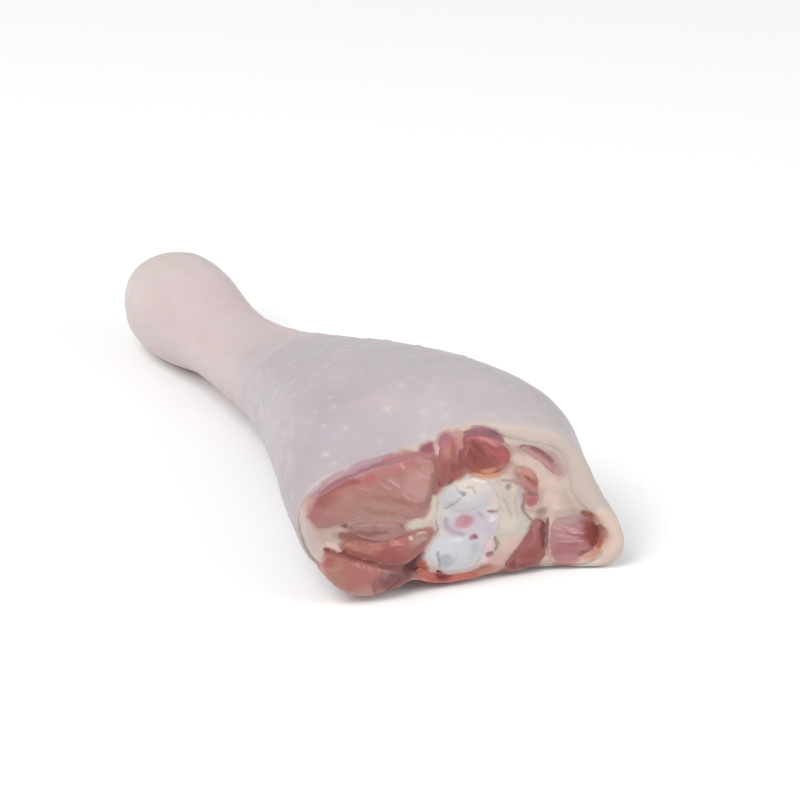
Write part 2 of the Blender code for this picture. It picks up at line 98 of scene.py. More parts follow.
def dots(points, spacing, reach, seed=0):
    """Rounded dots strewn through space: 1 at a dot's middle and 0 from reach onwards."""
    at = points / spacing + seed * 7.9
    cell = np.floor(at).astype(np.int64)
    best = np.full(len(at), 9.0)
    for near in itertools.product((-1, 0, 1), repeat=3):
        other = cell + near
        away = other + JITTER[scramble(other + seed)] - at
        best = np.minimum(best, np.einsum("ij,ij->i", away, away))
    return np.clip(1.0 - np.sqrt(best) * spacing / reach, 0.0, 1.0)


def ease(value, low, high):
    """0 below low, 1 above high and a smooth step between them."""
    t = np.clip((np.asarray(value, float) - low) / (high - low), 0.0, 1.0)
    return t * t * (3.0 - 2.0 * t)


# ---- Meshes


def add_object(name, data):
    """A new object that holds this data, in the scene."""
    added = bpy.data.objects.new(name, data)
    bpy.context.scene.collection.objects.link(added)
    return added


def dense_copy(node, voxel, smoothing):
    """A copy of a solid in a mesh of this size in millimetres, its facets rounded off and smoothed."""
    work = bmesh.new()
    work.from_mesh(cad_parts[node].data)
    bmesh.ops.remove_doubles(work, verts=work.verts, dist=1e-6)
    bmesh.ops.join_triangles(work, faces=work.faces, angle_face_threshold=0.9, angle_shape_threshold=1.3)
    mesh = bpy.data.meshes.new(node + "_fine")
    work.to_mesh(mesh)
    work.free()
    piece = add_object(node + "_fine", mesh)
    piece.modifiers.new("rounding", "SUBSURF").levels = 1
    remesh = piece.modifiers.new("remesh", "REMESH")
    remesh.mode = "VOXEL"
    remesh.voxel_size = voxel * MM
    smoother = piece.modifiers.new("smoothing", "SMOOTH")
    smoother.factor = 0.5
    smoother.iterations = smoothing
    graph = bpy.context.evaluated_depsgraph_get()
    piece.data = bpy.data.meshes.new_from_object(piece.evaluated_get(graph))
    piece.modifiers.clear()
    piece.data.shade_smooth()
    return piece


def read(piece):
    """The places of a mesh's points, in millimetres, and their normals."""
    points = np.empty(len(piece.data.vertices) * 3, np.float32)
    normal = np.empty_like(points)
    piece.data.vertices.foreach_get("co", points)
    piece.data.vertex_normals.foreach_get("vector", normal)
    return points.reshape(-1, 3).astype(float) / MM, normal.reshape(-1, 3).astype(float)


def cut_place(points):
    """(across, height, along) of points given in the frame, along measured from the slanted cut."""
    across, height = points[:, 1] - CUT_Y, points[:, 2]
    along = points[:, 0] - CUT_X - CUT_SLANT * across
    return across, height, along


# ---- Marks on the cut

DIMMED = 0.8  # the lights are bright: this share of a display colour as paint shows as that colour
MARK_LEAN = (0.54, -0.58)  # marks lie on the cut's plane, and lean this much for each mm in front of it
LEAN_REACH = 4.0  # beyond this distance from the plane they lean no further
TRACED_AT = 0.7  # the solids' outlines are drawn as they look this far in front of the plane
WANDER = ((3.0, 0.45), (1.2, 0.2))  # the edges of marks stray by noise of these sizes and reaches
END_THICKNESS = 0.45  # a line is this share of its width at its ends
GRAIN_TINT = np.array((0.6, 1.0, 1.0))  # flesh darkens more in green and blue than in red


def tone(*shades):
    """A paint colour from the display values, 0 to 255, that it should have in the picture's bright light."""
    value = np.array(shades) / 255.0
    return np.where(value <= 0.04045, value / 12.92, ((value + 0.055) / 1.055) ** 2.4) * DIMMED


def mix(colour, other, mask):
    """One colour carried towards another by a mask from 0 to 1."""
    return colour + np.asarray(mask)[..., None] * (np.asarray(other, float) - colour)


def spot(middle, half, turn=0.0, soft=0.6):
    """A soft ellipse round middle, an (across, height): its mask is 1 inside and 0 outside."""
    c, s = math.cos(math.radians(turn)), math.sin(math.radians(turn))

    def mask(across, height):
        dy, dz = across - middle[0], height - middle[1]
        away = np.hypot((dy * c + dz * s) / half[0], (dz * c - dy * s) / half[1])
        return 1.0 - ease(away, 1.0 - soft, 1.0 + soft)

    return mask


def line(width, *route, soft=0.7):
    """A soft line of this half width through these places, thinner towards its two ends."""
    lengths = [math.dist(a, b) for a, b in zip(route, route[1:])]
    total = sum(lengths)

    def mask(across, height):
        best, thin, done = np.full(len(across), 99.0), np.ones(len(across)), 0.0
        for (ay, az), (by, bz), length in zip(route, route[1:], lengths):
            dy, dz = by - ay, bz - az
            share = np.clip(((across - ay) * dy + (height - az) * dz) / length**2, 0.0, 1.0)
            away = np.hypot(across - ay - share * dy, height - az - share * dz)
            at = (done + share * length) / total
            swell = 4.0 * at * (1.0 - at)
            thin = np.where(away < best, END_THICKNESS + (1.0 - END_THICKNESS) * swell, thin)
            best = np.minimum(best, away)
            done += length
        return 1.0 - ease(best / (width * thin), 1.0 - soft, 1.0 + soft)

    return mask


def lay(marks, points, tint):
    """Paints marks over a tint, one after another, and adds up how far they raise the surface."""
    across, height, along = cut_place(points)
    flat = np.stack([along * 0.3, across, height], 1)
    near = np.clip(along, -LEAN_REACH, LEAN_REACH)
    across, height = across + MARK_LEAN[0] * near, height + MARK_LEAN[1] * near
    for number, (size, reach) in enumerate(WANDER):
        across = across + reach * noise(flat, size, 31 + 2 * number)
        height = height + reach * noise(flat, size, 32 + 2 * number)
    raised = np.zeros(len(points))
    for shape, colour, strength, *rise in marks:
        mask = shape(across, height)
        tint = mix(tint, tone(*colour), strength * mask)
        raised += sum(rise) * mask
    return tint, raised


def fibres(points, direction, width, length, seed):
    """Noise drawn out along a direction in the cut, given in degrees from across."""
    c, s = math.cos(math.radians(direction)), math.sin(math.radians(direction))
    along = points[:, 1] * c + points[:, 2] * s
    aside = -points[:, 1] * s + points[:, 2] * c
    wander = 1.2 * noise(points, 6.0, seed + 5)
    return noise(np.stack([points[:, 0] * 0.5, along, aside + wander], 1), (width * 4, length, width), seed)


# ---- Materials


def flesh_material(name, roughness, coat, scatter, reach, bump_size, bump, fleck=0.04):
    """A wet, translucent surface in the painted colour, with a fine grain in colour, gloss and relief.

    reach is how far light spreads inside it; bump_size and bump are the relief's size and height: all in
    millimetres. fleck is how much the colour varies.
    """
    made = bpy.data.materials.new(name)
    made.use_nodes = True
    nodes, links = made.node_tree.nodes, made.node_tree.links
    shader = nodes["Principled BSDF"]
    place = nodes.new("ShaderNodeNewGeometry")

    def speckle(scale, detail):
        """A noise texture over the frame."""
        texture = nodes.new("ShaderNodeTexNoise")
        texture.inputs["Scale"].default_value = scale
        texture.inputs["Detail"].default_value = detail
        links.new(place.outputs["Position"], texture.inputs["Vector"])
        return texture

    tint = nodes.new("ShaderNodeAttribute")
    tint.attribute_name = "tint"
    grain = speckle(1400.0, 3.0)
    shade = nodes.new("ShaderNodeMapRange")
    shade.inputs["To Min"].default_value = 1.0 - fleck
    shade.inputs["To Max"].default_value = 1.0 + fleck
    links.new(grain.outputs["Fac"], shade.inputs["Value"])
    scaled = nodes.new("ShaderNodeVectorMath")
    scaled.operation = "SCALE"
    links.new(tint.outputs["Vector"], scaled.inputs[0])
    links.new(shade.outputs["Result"], scaled.inputs["Scale"])
    links.new(scaled.outputs["Vector"], shader.inputs["Base Color"])

    patches = speckle(240.0, 4.0)
    wetness = nodes.new("ShaderNodeMapRange")
    wetness.inputs["From Min"].default_value = 0.3
    wetness.inputs["From Max"].default_value = 0.7
    wetness.inputs["To Min"].default_value = roughness * 1.3
    wetness.inputs["To Max"].default_value = roughness * 0.7
    links.new(patches.outputs["Fac"], wetness.inputs["Value"])
    links.new(wetness.outputs["Result"], shader.inputs["Roughness"])

    relief = speckle(1.0 / (bump_size * MM), 5.0)
    relief.inputs["Roughness"].default_value = 0.6
    raised = nodes.new("ShaderNodeBump")
    raised.inputs["Strength"].default_value = 1.0
    raised.inputs["Distance"].default_value = bump * MM
    links.new(relief.outputs["Fac"], raised.inputs["Height"])
    links.new(raised.outputs["Normal"], shader.inputs["Normal"])

    for socket, value in (
        ("Subsurface Weight", scatter),
        ("Subsurface Radius", (1.0, 0.35, 0.22)),
        ("Subsurface Scale", reach * MM),
        ("Specular IOR Level", 0.5),
        ("IOR", 1.4),
        ("Coat Weight", coat),
        ("Coat Roughness", 0.12),
    ):
        shader.inputs[socket].default_value = value
    return made


SKIN = flesh_material("skin_surface", 0.5, 0.12, 0.35, 2.5, 0.9, 0.10)
FAT = flesh_material("fat_surface", 0.4, 0.2, 0.35, 2.0, 0.8, 0.14)
MEAT = flesh_material("meat_surface", 0.4, 0.15, 0.3, 1.2, 0.6, 0.12, 0.06)
CARTILAGE = flesh_material("cartilage_surface", 0.25, 0.35, 0.35, 2.0, 0.5, 0.05, 0.02)

# ---- Skin

GREY_SKIN = tone(196, 187, 191)
PINK_SKIN = tone(215, 197, 197)
HOCK_WHITE = tone(221, 208, 204)
RIM_CREAM = tone(203, 192, 189)
LIP_CREAM = tone(211, 194, 184)
SHADED_SKIN = tone(170, 158, 166)  # low on the side where the large muscle lies
DULL_SKIN = tone(186, 173, 178)
UNDER_RIM = tone(200, 180, 172)
BLUISH, WARM, BUMP_WHITE = tone(188, 180, 190), tone(212, 192, 190), tone(220, 212, 210)

SKIN_VOXEL = 1.0
BODY_FROM = (-150.0, -95.0)  # along the leg: the shank's smooth skin gives way to the body's bumps
PINK_UNTIL = (-135.0, -85.0)
WHITE_UNTIL = (-205.0, -165.0)
BUMP_SPACING, BUMP_REACH, BUMP_RISE = 5.2, 1.7, 0.4
LIP = (-2.6, -1.0)  # from the rim, the part of the skin's end that is painted like the fat beside it


def dress(piece, node, material, points, tint):
    """Finishes a piece: its points, its paint, its material and its place in the frame."""
    piece.data.vertices.foreach_set("co", (points * MM).astype(np.float32).ravel())
    piece.data.update()
    layer = piece.data.attributes.new("tint", "FLOAT_VECTOR", "POINT")
    layer.data.foreach_set("vector", np.clip(tint, 0.01, 0.95).astype(np.float32).ravel())
    piece.data.materials.clear()
    piece.data.materials.append(material)
    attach(piece, BODY_NAME)
    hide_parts(node)


def outwardness(across, height, normal):
    """How squarely a surface faces away from the middle of the leg: 1 outwards, -1 inwards."""
    away = np.stack([across - FAT_MIDDLE[0], height - FAT_MIDDLE[1]], 1)
    away /= np.maximum(np.linalg.norm(away, axis=1), 1e-6)[:, None]
    return np.einsum("ij,ij->i", away, normal[:, 1:])


def skin_tint(points, along, across, height, body, bumps):
    """The outer skin: grey on the body, pink on the shank, whitish at the hock, creamy at the rim."""
    left, low = ease(-across, 34.0, 50.0), 1.0 - ease(height, 26.0, 44.0)
    tint = np.tile(np.array(GREY_SKIN), (len(points), 1))
    tint = mix(tint, PINK_SKIN, 1.0 - ease(along, *PINK_UNTIL))
    tint = mix(tint, HOCK_WHITE, 1.0 - ease(along, *WHITE_UNTIL))
    tint = mix(tint, RIM_CREAM, (0.3 + 0.5 * ease(across, 5.0, 25.0)) * ease(along, -9.0, -2.0))
    tint = mix(tint, SHADED_SKIN, 0.85 * left * low)
    tint = mix(tint, DULL_SKIN, 0.65 * ease(-across, 8.0, 30.0) * ease(along, -60.0, -20.0))
    tint = mix(tint, UNDER_RIM, 0.7 * ease(along, -14.0, -6.0) * (1.0 - ease(height, 2.0, 5.0)))
    tint = tint * (1.0 + 0.05 * rough(points, 14.0, 3, 6)[:, None] * GRAIN_TINT)
    tint = mix(tint, BLUISH, 0.4 * body * ease(noise(points, 8.0, 7), 0.0, 0.6))
    tint = mix(tint, WARM, 0.4 * ease(noise(points, 10.0, 8), 0.1, 0.7))
    return mix(tint, BUMP_WHITE, 0.7 * bumps)


def make_skin():
    """The skin: bumps on the body, wrinkles on the shank, and the cut's paint on its lip and inner wall."""
    piece = dense_copy("skin", SKIN_VOXEL, 3)
    points, normal = read(piece)
    across, height, along = cut_place(points)
    upper = ease(height, 1.0, 8.0)
    body = ease(along, *BODY_FROM)
    swell = 0.45 * rough(points, 26.0, 2, 1) + 0.12 * noise(points, 6.0, 2)
    bumps = dots(points, BUMP_SPACING, BUMP_REACH, 3) ** 1.5 * body * upper
    wrinkles = rough(points, (1.6, 9.0, 9.0), 2, 4) * (1.0 - body)
    moved = swell + BUMP_RISE * bumps + 0.24 * wrinkles
    points = points + normal * (moved * upper)[:, None]
    points[:, 2] = np.maximum(points[:, 2], 0.0)

    tint = skin_tint(points, along, across, height, body, bumps)
    turn = polar(across, height)[0]
    lip = ease(along - at_turn(RIM, turn), *LIP)
    face = np.maximum(ease(normal @ FRONT, 0.15, 0.55), 1.0 - ease(height, 2.0, 4.0)) * lip
    inner_wall = ease(-outwardness(across, height, normal), 0.2, 0.6) * ease(along, -16.0, -12.0)
    painted = lay(FACE_FAT, points, np.tile(LIP_CREAM, (len(points), 1)))[0]
    tint = mix(tint, painted, np.maximum(face, inner_wall))
    dress(piece, "skin", SKIN, points, tint)


# ---- Paint of the cut
# Each mark is a shape, a colour, a strength and, where it has relief, its rise in millimetres.
# Most marks are the tissues' own colours; some are painted highlights or painted shade, noted where they
# stand.

GASTROCNEMIUS = [
    (spot((-42, 33.5), (11, 5), 10), (176, 120, 114), 0.8),
    (spot((-45.5, 38), (4.6, 3.6), 35), (160, 88, 88), 0.85),
    (spot((-48, 31.5), (2.6, 3.6)), (172, 108, 110), 0.7),
    (spot((-46.5, 27.8), (4.5, 1.8), -4), (166, 134, 124), 0.8),
    (line(1.5, (-47, 39.8), (-41, 41.3), (-34, 41.6)), (160, 84, 86), 0.85, -0.15),
    (spot((-30.8, 41.6), (2.3, 1.5), 10), (190, 104, 94), 0.8),
    (spot((-28, 31), (10, 4), -12), (178, 136, 124), 0.8),
    (spot((-14.5, 37), (5.5, 7)), (198, 150, 143), 0.9),
    (spot((-20, 44.5), (6, 2.6), 10), (190, 124, 124), 0.7),
    (line(1.5, (-44.5, 42.8), (-37, 44), (-30, 45.9), (-23, 47)), (178, 146, 156), 0.85, 0.15),
    (line(0.8, (-46, 41.2), (-40, 43.3), (-36, 44.6)), (196, 176, 186), 0.7, 0.1),
    # painted highlight: these pale streaks are the wet sheen on the muscle, each a little raised
    (line(0.25, (-35, 40), (-32.5, 38.6), (-30.5, 37.4)), (200, 152, 150), 0.55, 0.1),
    (line(0.35, (-25.6, 40.8), (-23.5, 39.2), (-21, 37.4)), (216, 174, 174), 0.7, 0.15),
    (line(0.25, (-27.5, 39.6), (-25.4, 38), (-23, 36.6)), (204, 160, 158), 0.6, 0.1),
    (line(0.25, (-24, 40.8), (-22.4, 39.6), (-21.4, 38.6)), (206, 162, 162), 0.5, 0.1),
    (line(0.4, (-21.8, 45.9), (-20.7, 44.6), (-19.7, 43.2)), (218, 164, 158), 0.85, 0.12),
    (line(0.4, (-20, 35.2), (-19, 33.6), (-18, 31.4)), (206, 158, 150), 0.75, 0.1),
    (line(0.4, (-15.6, 41.3), (-13.6, 39.6), (-12.2, 38.2)), (208, 164, 158), 0.65, 0.1),
    (line(0.5, (-38.5, 37.8), (-36.8, 36.4), (-35.4, 35.4)), (192, 140, 134), 0.6, 0.1),
    # painted shade: darker in the folds across the muscle and along its right and lower right edge, which
    # also dip a little
    (line(1.4, (-30, 35), (-25, 33.6), (-20, 32.2), (-17, 30.2)), (162, 106, 98), 0.6, -0.25),
    (line(1.1, (-33, 32.2), (-28.5, 29.8), (-22, 28.6)), (168, 116, 106), 0.55, -0.2),
    (line(1.2, (-10.9, 40), (-11.2, 34), (-12.6, 29.5)), (158, 110, 102), 0.75, -0.2),
    (spot((-14, 30), (2.6, 1.5), 30), (160, 112, 102), 0.6, -0.1),
    (line(0.6, (-38.5, 28.7), (-31, 28.5), (-25, 27.2), (-19.5, 27)), (194, 154, 144), 0.8, 0.1),
    (spot((-13.4, 47.6), (1.9, 1.4)), (156, 84, 98), 0.9),
    (spot((-16.2, 46.6), (1.5, 1), 20), (170, 104, 106), 0.7),
    (line(0.7, (-17.6, 46.4), (-15.4, 45.2), (-12.6, 44.9)), (198, 134, 132), 0.6, -0.2),
]
FLEXOR_STRIP = [
    (spot((-31, 25.8), (6.5, 1.3), -8), (176, 130, 120), 0.7),
    # painted highlight along the strip's top, a little raised
    (line(0.5, (-35, 26.6), (-28, 26.3), (-22, 24.6)), (196, 154, 144), 0.7, 0.1),
    # painted shade in the crevice along its lower edge and in the creases at both ends, which also dip
    (line(0.8, (-36, 24.8), (-31, 23.2), (-25, 22.7)), (146, 86, 80), 0.9, -0.2),
    (spot((-37.4, 26.4), (1.2, 0.9), -40), (120, 66, 62), 0.9, -0.4),
    (line(0.6, (-21.2, 25.2), (-20, 23.6)), (140, 84, 76), 0.9, -0.3),
]
FLEXOR_LOBE = [
    (spot((-33, 18.6), (6, 2.6), -22), (182, 118, 108), 0.8),
    (spot((-37.2, 21.2), (2.3, 1.3), -10), (186, 138, 112), 0.9),
    (spot((-39.8, 21.6), (1.3, 1.1)), (156, 100, 100), 0.9),
    (spot((-24.5, 14.6), (4.5, 2.4), -10), (160, 78, 76), 0.85),
    (spot((-20, 18), (2.6, 3)), (180, 108, 104), 0.8),
    (spot((-15.2, 18.8), (3, 2.4), 25), (188, 148, 141), 0.95),
    # painted shade in the crevice along the lobe's top, which also dips
    (line(0.9, (-39, 22.6), (-34, 21.8), (-29, 20.9), (-24.5, 20.7)), (134, 66, 62), 0.95, -0.3),
    # painted highlights: this line and the next, a little raised
    (line(0.55, (-25.4, 19.6), (-22.8, 18.6), (-20.4, 17.9)), (214, 146, 136), 0.85, 0.2),
    (line(0.3, (-24.6, 20.5), (-22.5, 20)), (206, 140, 130), 0.7, 0.1),
    (line(0.5, (-19, 20.9), (-15.5, 20.6), (-12.2, 21.7)), (216, 190, 174), 0.85, 0.15),
    (spot((-18, 19.9), (1, 0.5), -30), (236, 216, 206), 0.9, 0.1),
    (line(0.5, (-17, 19.6), (-14, 20), (-12.4, 20.6)), (160, 120, 110), 0.7, -0.15),
    (line(0.7, (-18.6, 13.4), (-15.6, 15.4), (-13, 17.8)), (150, 100, 100), 0.8, -0.2),
    # painted shade in the crevice along the lobe's lower edge, which also dips
    (line(0.8, (-39, 19.9), (-34, 17), (-28, 13.6), (-22, 11.9)), (150, 78, 70), 0.9, -0.2),
    (line(0.6, (-31, 17.4), (-28.5, 18.2), (-26.5, 17.2)), (196, 130, 118), 0.6, 0.1),
]
FLEXOR_TIP = [
    (spot((-41.5, 10.5), (3.2, 5), 20), (178, 126, 108), 0.85),
    (spot((-43.4, 16.8), (2.2, 2.4)), (168, 90, 84), 0.8),
    (spot((-33.5, 9), (5, 3.4), -20), (176, 106, 102), 0.8),
    (spot((-28.2, 7.6), (1.8, 1.6)), (184, 112, 114), 0.8),
    (spot((-34, 3.2), (6, 1.8), 5), (186, 142, 132), 0.85),
    # painted shade over the tip's right part
    (spot((-23, 6.4), (5.2, 3.8), 10), (126, 74, 75), 0.95),
    (spot((-25.6, 8.4), (0.8, 1.6)), (160, 118, 112), 0.6),
    # painted shade: the edge where the tip's right part turns away, which also dips
    (line(0.7, (-29.1, 7.4), (-29, 5), (-29.2, 2.6)), (150, 92, 94), 0.9, -0.25),
    (line(0.6, (-35.4, 13.6), (-31, 12), (-27.8, 10.4)), (204, 144, 138), 0.85, 0.15),
    (line(0.5, (-44.4, 14.2), (-41.5, 12.8), (-39, 13.4)), (196, 140, 130), 0.6, 0.1),
    # painted shade in the crevice between the lobe and the tip and in the dark hole at its end, which also
    # dip
    (line(0.9, (-44.6, 19.6), (-42.6, 18.8), (-38.5, 16.8), (-33, 13.6)), (146, 72, 62), 0.9, -0.2),
    (line(0.7, (-33, 13.4), (-28, 11.4), (-22, 9.8)), (132, 62, 56), 0.7, -0.2),
    (spot((-19, 8.2), (1.8, 1.6)), (92, 28, 30), 0.95, -0.4),
]
SHIN_SMALL = [
    (spot((-7.2, 49.8), (1.9, 1.5), 20), (178, 116, 130), 0.9),
    (spot((-6.4, 46.4), (1.8, 2.4)), (194, 138, 136), 0.85),
    (spot((-4.6, 46.6), (1.2, 2.4)), (172, 94, 72), 0.85),
    (spot((-5, 49.8), (1.1, 0.9)), (180, 104, 96), 0.6),
    (spot((-7.6, 39.4), (2.2, 4.6), -18), (158, 92, 88), 0.85),
    (spot((-9.4, 35.6), (1, 2.2)), (136, 70, 66), 0.9, -0.2),
    (spot((-4.4, 41), (1.1, 1.7)), (142, 74, 72), 0.9, -0.1),
    (line(0.5, (-3.6, 50.8), (-3.3, 48.2), (-3.6, 45.4)), (212, 150, 148), 0.9, 0.1),
]
SHIN_LARGE = [
    (spot((3.6, 42.6), (2.8, 4.6), 20), (146, 72, 68), 0.85),
    (spot((-0.6, 43.2), (1.8, 3.2)), (152, 76, 76), 0.8),
    (spot((11.2, 42.6), (2.2, 2.6), 30), (186, 92, 88), 0.9),
    (spot((7, 45.6), (2.4, 2.4)), (168, 92, 88), 0.6),
    (line(1.6, (-1.6, 50.8), (3.4, 50.8), (7.4, 49.2), (10.6, 46.2)), (184, 108, 116), 0.9),
    # painted highlight: a pale streak of sheen, a little raised
    (line(0.7, (2.8, 50), (5.4, 48.9), (8.2, 46.9), (9.4, 46.4)), (206, 138, 136), 0.8, 0.15),
    (line(0.6, (1, 49.2), (2.6, 46.6), (5.2, 43.6)), (130, 62, 62), 0.85, -0.25),
    (line(0.6, (0.2, 46.2), (1.8, 43.8), (2.6, 41)), (134, 64, 62), 0.75, -0.25),
    # painted highlights: two more pale streaks of sheen, a little raised
    (line(0.5, (4.6, 47.4), (6.8, 44.8), (9, 42.6)), (188, 104, 98), 0.6, 0.12),
    (line(0.5, (-0.4, 48.6), (-0.8, 46), (-1.6, 43.6)), (184, 110, 110), 0.6, 0.1),
    (spot((2.4, 38.9), (3, 1), -10), (178, 92, 66), 0.85),
    (spot((6.4, 38.2), (2.4, 0.9)), (212, 156, 122), 0.9),
    (spot((11.2, 38.8), (1.6, 1.3)), (188, 120, 110), 0.8),
]
PERONEAL = [
    (spot((19.2, 36.4), (2.8, 1.4), -35), (208, 148, 142), 0.9),
    (spot((21.2, 34.2), (1.1, 2), -10), (204, 138, 126), 0.8),
    (spot((17, 33.8), (2, 1.4), -50), (184, 138, 126), 0.8),
    (line(0.6, (18, 34.6), (20.4, 32.6), (21.9, 30.6), (22, 28.8)), (150, 82, 64), 0.9, -0.25),
    (spot((19.4, 30.6), (1.4, 1.8)), (184, 118, 114), 0.7),
    (line(0.7, (18.4, 28.2), (22.2, 27.6)), (146, 108, 96), 0.95, -0.3),
    (spot((20.2, 25.6), (1.8, 1.5)), (184, 98, 106), 0.95, 0.1),
    (spot((15.6, 37.4), (1.6, 1), -30), (206, 164, 152), 0.8),
]
THIN_MUSCLE = [
    # painted shadow under the skin's lip along the muscle's upper edge, which also dips a little
    (line(0.9, (15.5, 45.4), (20, 44.3), (24.4, 40.8), (27.6, 36.4)), (146, 92, 98), 0.9, -0.1),
    (line(0.6, (18.6, 42.6), (22.6, 39.6), (25.6, 36)), (206, 160, 158), 0.8, 0.1),
    (spot((27.8, 33.8), (1.2, 1.6)), (206, 168, 160), 0.8),
    (spot((17.6, 43.6), (1.6, 1.2)), (204, 164, 158), 0.7),
]
DEEP_PERONEAL = [
    (line(1.6, (24, 18.6), (24.5, 14), (24.4, 8.6)), (116, 40, 32), 0.95, -0.2),
    (spot((21.6, 16.8), (1.2, 2.4)), (176, 116, 112), 0.8),
    (line(0.4, (21.2, 15.6), (21, 12.4), (19.6, 9.6)), (186, 126, 120), 0.6, 0.12),
    (spot((20, 7.4), (2.8, 1.8)), (150, 76, 72), 0.8),
    (spot((18, 10), (1.6, 1.8), 30), (164, 100, 96), 0.7),
    (spot((14.2, 4.6), (1.2, 1.2)), (136, 68, 64), 0.9, -0.15),
    (line(0.4, (15.4, 5), (16.4, 6.6)), (184, 112, 108), 0.8, 0.1),
    (line(0.6, (13.8, 3.6), (18, 3.7), (22, 4.3)), (124, 62, 62), 0.8, -0.1),
]
FLAP_MUSCLE = [
    (spot((32, 17.2), (6, 1.5)), (186, 158, 154), 0.9),
    (spot((31.6, 7.2), (4.4, 2.8)), (174, 106, 110), 0.8),
    (spot((37.4, 12.6), (2.8, 4)), (164, 92, 88), 0.8),
    (spot((30, 4.6), (3.4, 1)), (194, 136, 136), 0.8),
    (line(0.45, (27.2, 15.6), (30.6, 13.6), (35, 12.2), (39, 11.6)), (220, 178, 178), 0.8, 0.15),
    (line(0.4, (29, 15.9), (32.6, 14), (37, 13)), (214, 170, 170), 0.75, 0.12),
    (line(0.4, (27.4, 13.4), (31, 11.6), (35.4, 10.2)), (206, 158, 160), 0.7, 0.12),
    (line(0.45, (29.4, 10), (33.6, 9.6), (38.2, 8.8)), (210, 160, 160), 0.7, 0.12),
    (line(0.4, (33.6, 15.4), (36.2, 14.4), (38.4, 13.9)), (204, 150, 150), 0.6, 0.1),
    (line(0.4, (29.8, 14.2), (34, 11.6), (36.6, 10.8)), (150, 92, 94), 0.6, -0.2),
    (line(0.4, (28, 9.2), (31.6, 9), (35, 7.8)), (160, 98, 100), 0.5, -0.15),
    # the muscle's red, darkened as painted shade in the pocket at its right end; the deepest line also dips
    (spot((40, 11.4), (2.8, 4.6), 12), (138, 46, 32), 0.95),
    (line(1.3, (40.8, 14.6), (41.8, 10), (39.8, 6.4)), (124, 30, 18), 1, -0.35),
    (spot((37.4, 4.8), (2, 1), 20), (122, 64, 48), 0.85, -0.3),
]
UNDERSIDE_STRIP = [
    (spot((-15.2, 8), (1.8, 1.4)), (170, 86, 66), 0.95),
    (spot((-13.2, 6.6), (1.8, 1.2), -30), (196, 122, 104), 0.7),
    (line(1.6, (-9.6, 5.6), (-8, 4.8), (-5, 4.2)), (120, 6, 4), 1, 0.1),
    (spot((-2, 4), (4, 1.2)), (208, 112, 98), 0.9),
    (spot((5.6, 4.2), (3, 1.2)), (188, 136, 116), 0.9),
]
KNEE = [
    (spot((0.5, 34.5), (8, 3), -5), (228, 216, 205), 0.9),
    (spot((-6, 31), (3.2, 3), 20), (202, 199, 204), 0.9),
    (line(1.1, (-9.2, 32.2), (-9.2, 27), (-8.4, 22.4)), (216, 200, 188), 0.8),
    (spot((8.2, 29.6), (2, 4)), (226, 214, 202), 0.8, 0.1),
    # painted shade in the creases of the upper condyle, which also dip
    (spot((-1.4, 31.7), (0.9, 0.7), -40), (140, 136, 136), 0.9, -0.3),
    (line(0.5, (-3.4, 33.2), (-2.2, 32.3), (-1.2, 31.6)), (180, 176, 176), 0.7, -0.3),
    (line(0.4, (-0.6, 33.4), (1.4, 33.2), (2.4, 31.2)), (186, 176, 174), 0.7, -0.25),
    (line(0.4, (-7.6, 27.8), (-5.2, 28.6), (-2.4, 30.2)), (156, 152, 154), 0.85, -0.15),
    (spot((-0.6, 21.8), (5.6, 3.6)), (210, 194, 205), 0.95),
    (spot((-1.3, 22.2), (2.9, 2.3), 0, 0.35), (206, 152, 162), 0.95, -0.35),
    (spot((-0.4, 22), (1.5, 1.6)), (196, 138, 147), 0.7, -0.1),
    # painted shade: grey lines in shallow creases, which also dip (this line and the next)
    (line(0.5, (3, 24.8), (4, 23.4), (5, 22)), (180, 170, 176), 0.6, -0.3),
    (line(1.1, (-7.2, 24.4), (-6.6, 21.2), (-4.4, 19), (-1, 17.6)), (182, 166, 176), 0.8, -0.25),
    (spot((6.4, 19.6), (3, 2.6)), (208, 196, 210), 0.9, 0.3),
    # painted highlight on the lump, a little raised
    (spot((7.6, 21.8), (1, 0.9), 30), (232, 234, 230), 0.9, 0.2),
    (line(0.6, (6.2, 24.6), (7.6, 24.2), (8.8, 23.8)), (156, 106, 104), 0.9, -0.4),
    (spot((2, 16.2), (1.4, 1), 0, 0.35), (176, 104, 138), 0.95, -0.5),
    (spot((2.7, 16), (0.6, 0.6)), (146, 74, 106), 0.8, -0.2),
    (spot((-4.6, 12.4), (6.4, 4.6), -12), (208, 212, 217), 0.9),
    (spot((-6.8, 9.8), (2.6, 2), -38, 0.3), (180, 183, 190), 0.85, -0.2),
    (line(0.4, (-9.3, 13.4), (-9.2, 10.6), (-8.2, 7.8)), (152, 152, 160), 0.8, -0.3),
    (line(0.35, (-3.8, 12), (-3.9, 9.4), (-4.6, 7.6)), (196, 198, 206), 0.7, -0.1),
    (spot((2.6, 12.6), (1.2, 2)), (190, 195, 204), 0.8, -0.2),
    (line(0.6, (-12.6, 13.2), (-11.8, 11.4), (-10.8, 10)), (124, 86, 88), 0.9, -0.3),
    (line(0.5, (-12, 15.4), (-10.4, 17.2), (-8.6, 19.2)), (176, 156, 156), 0.8, -0.2),
]
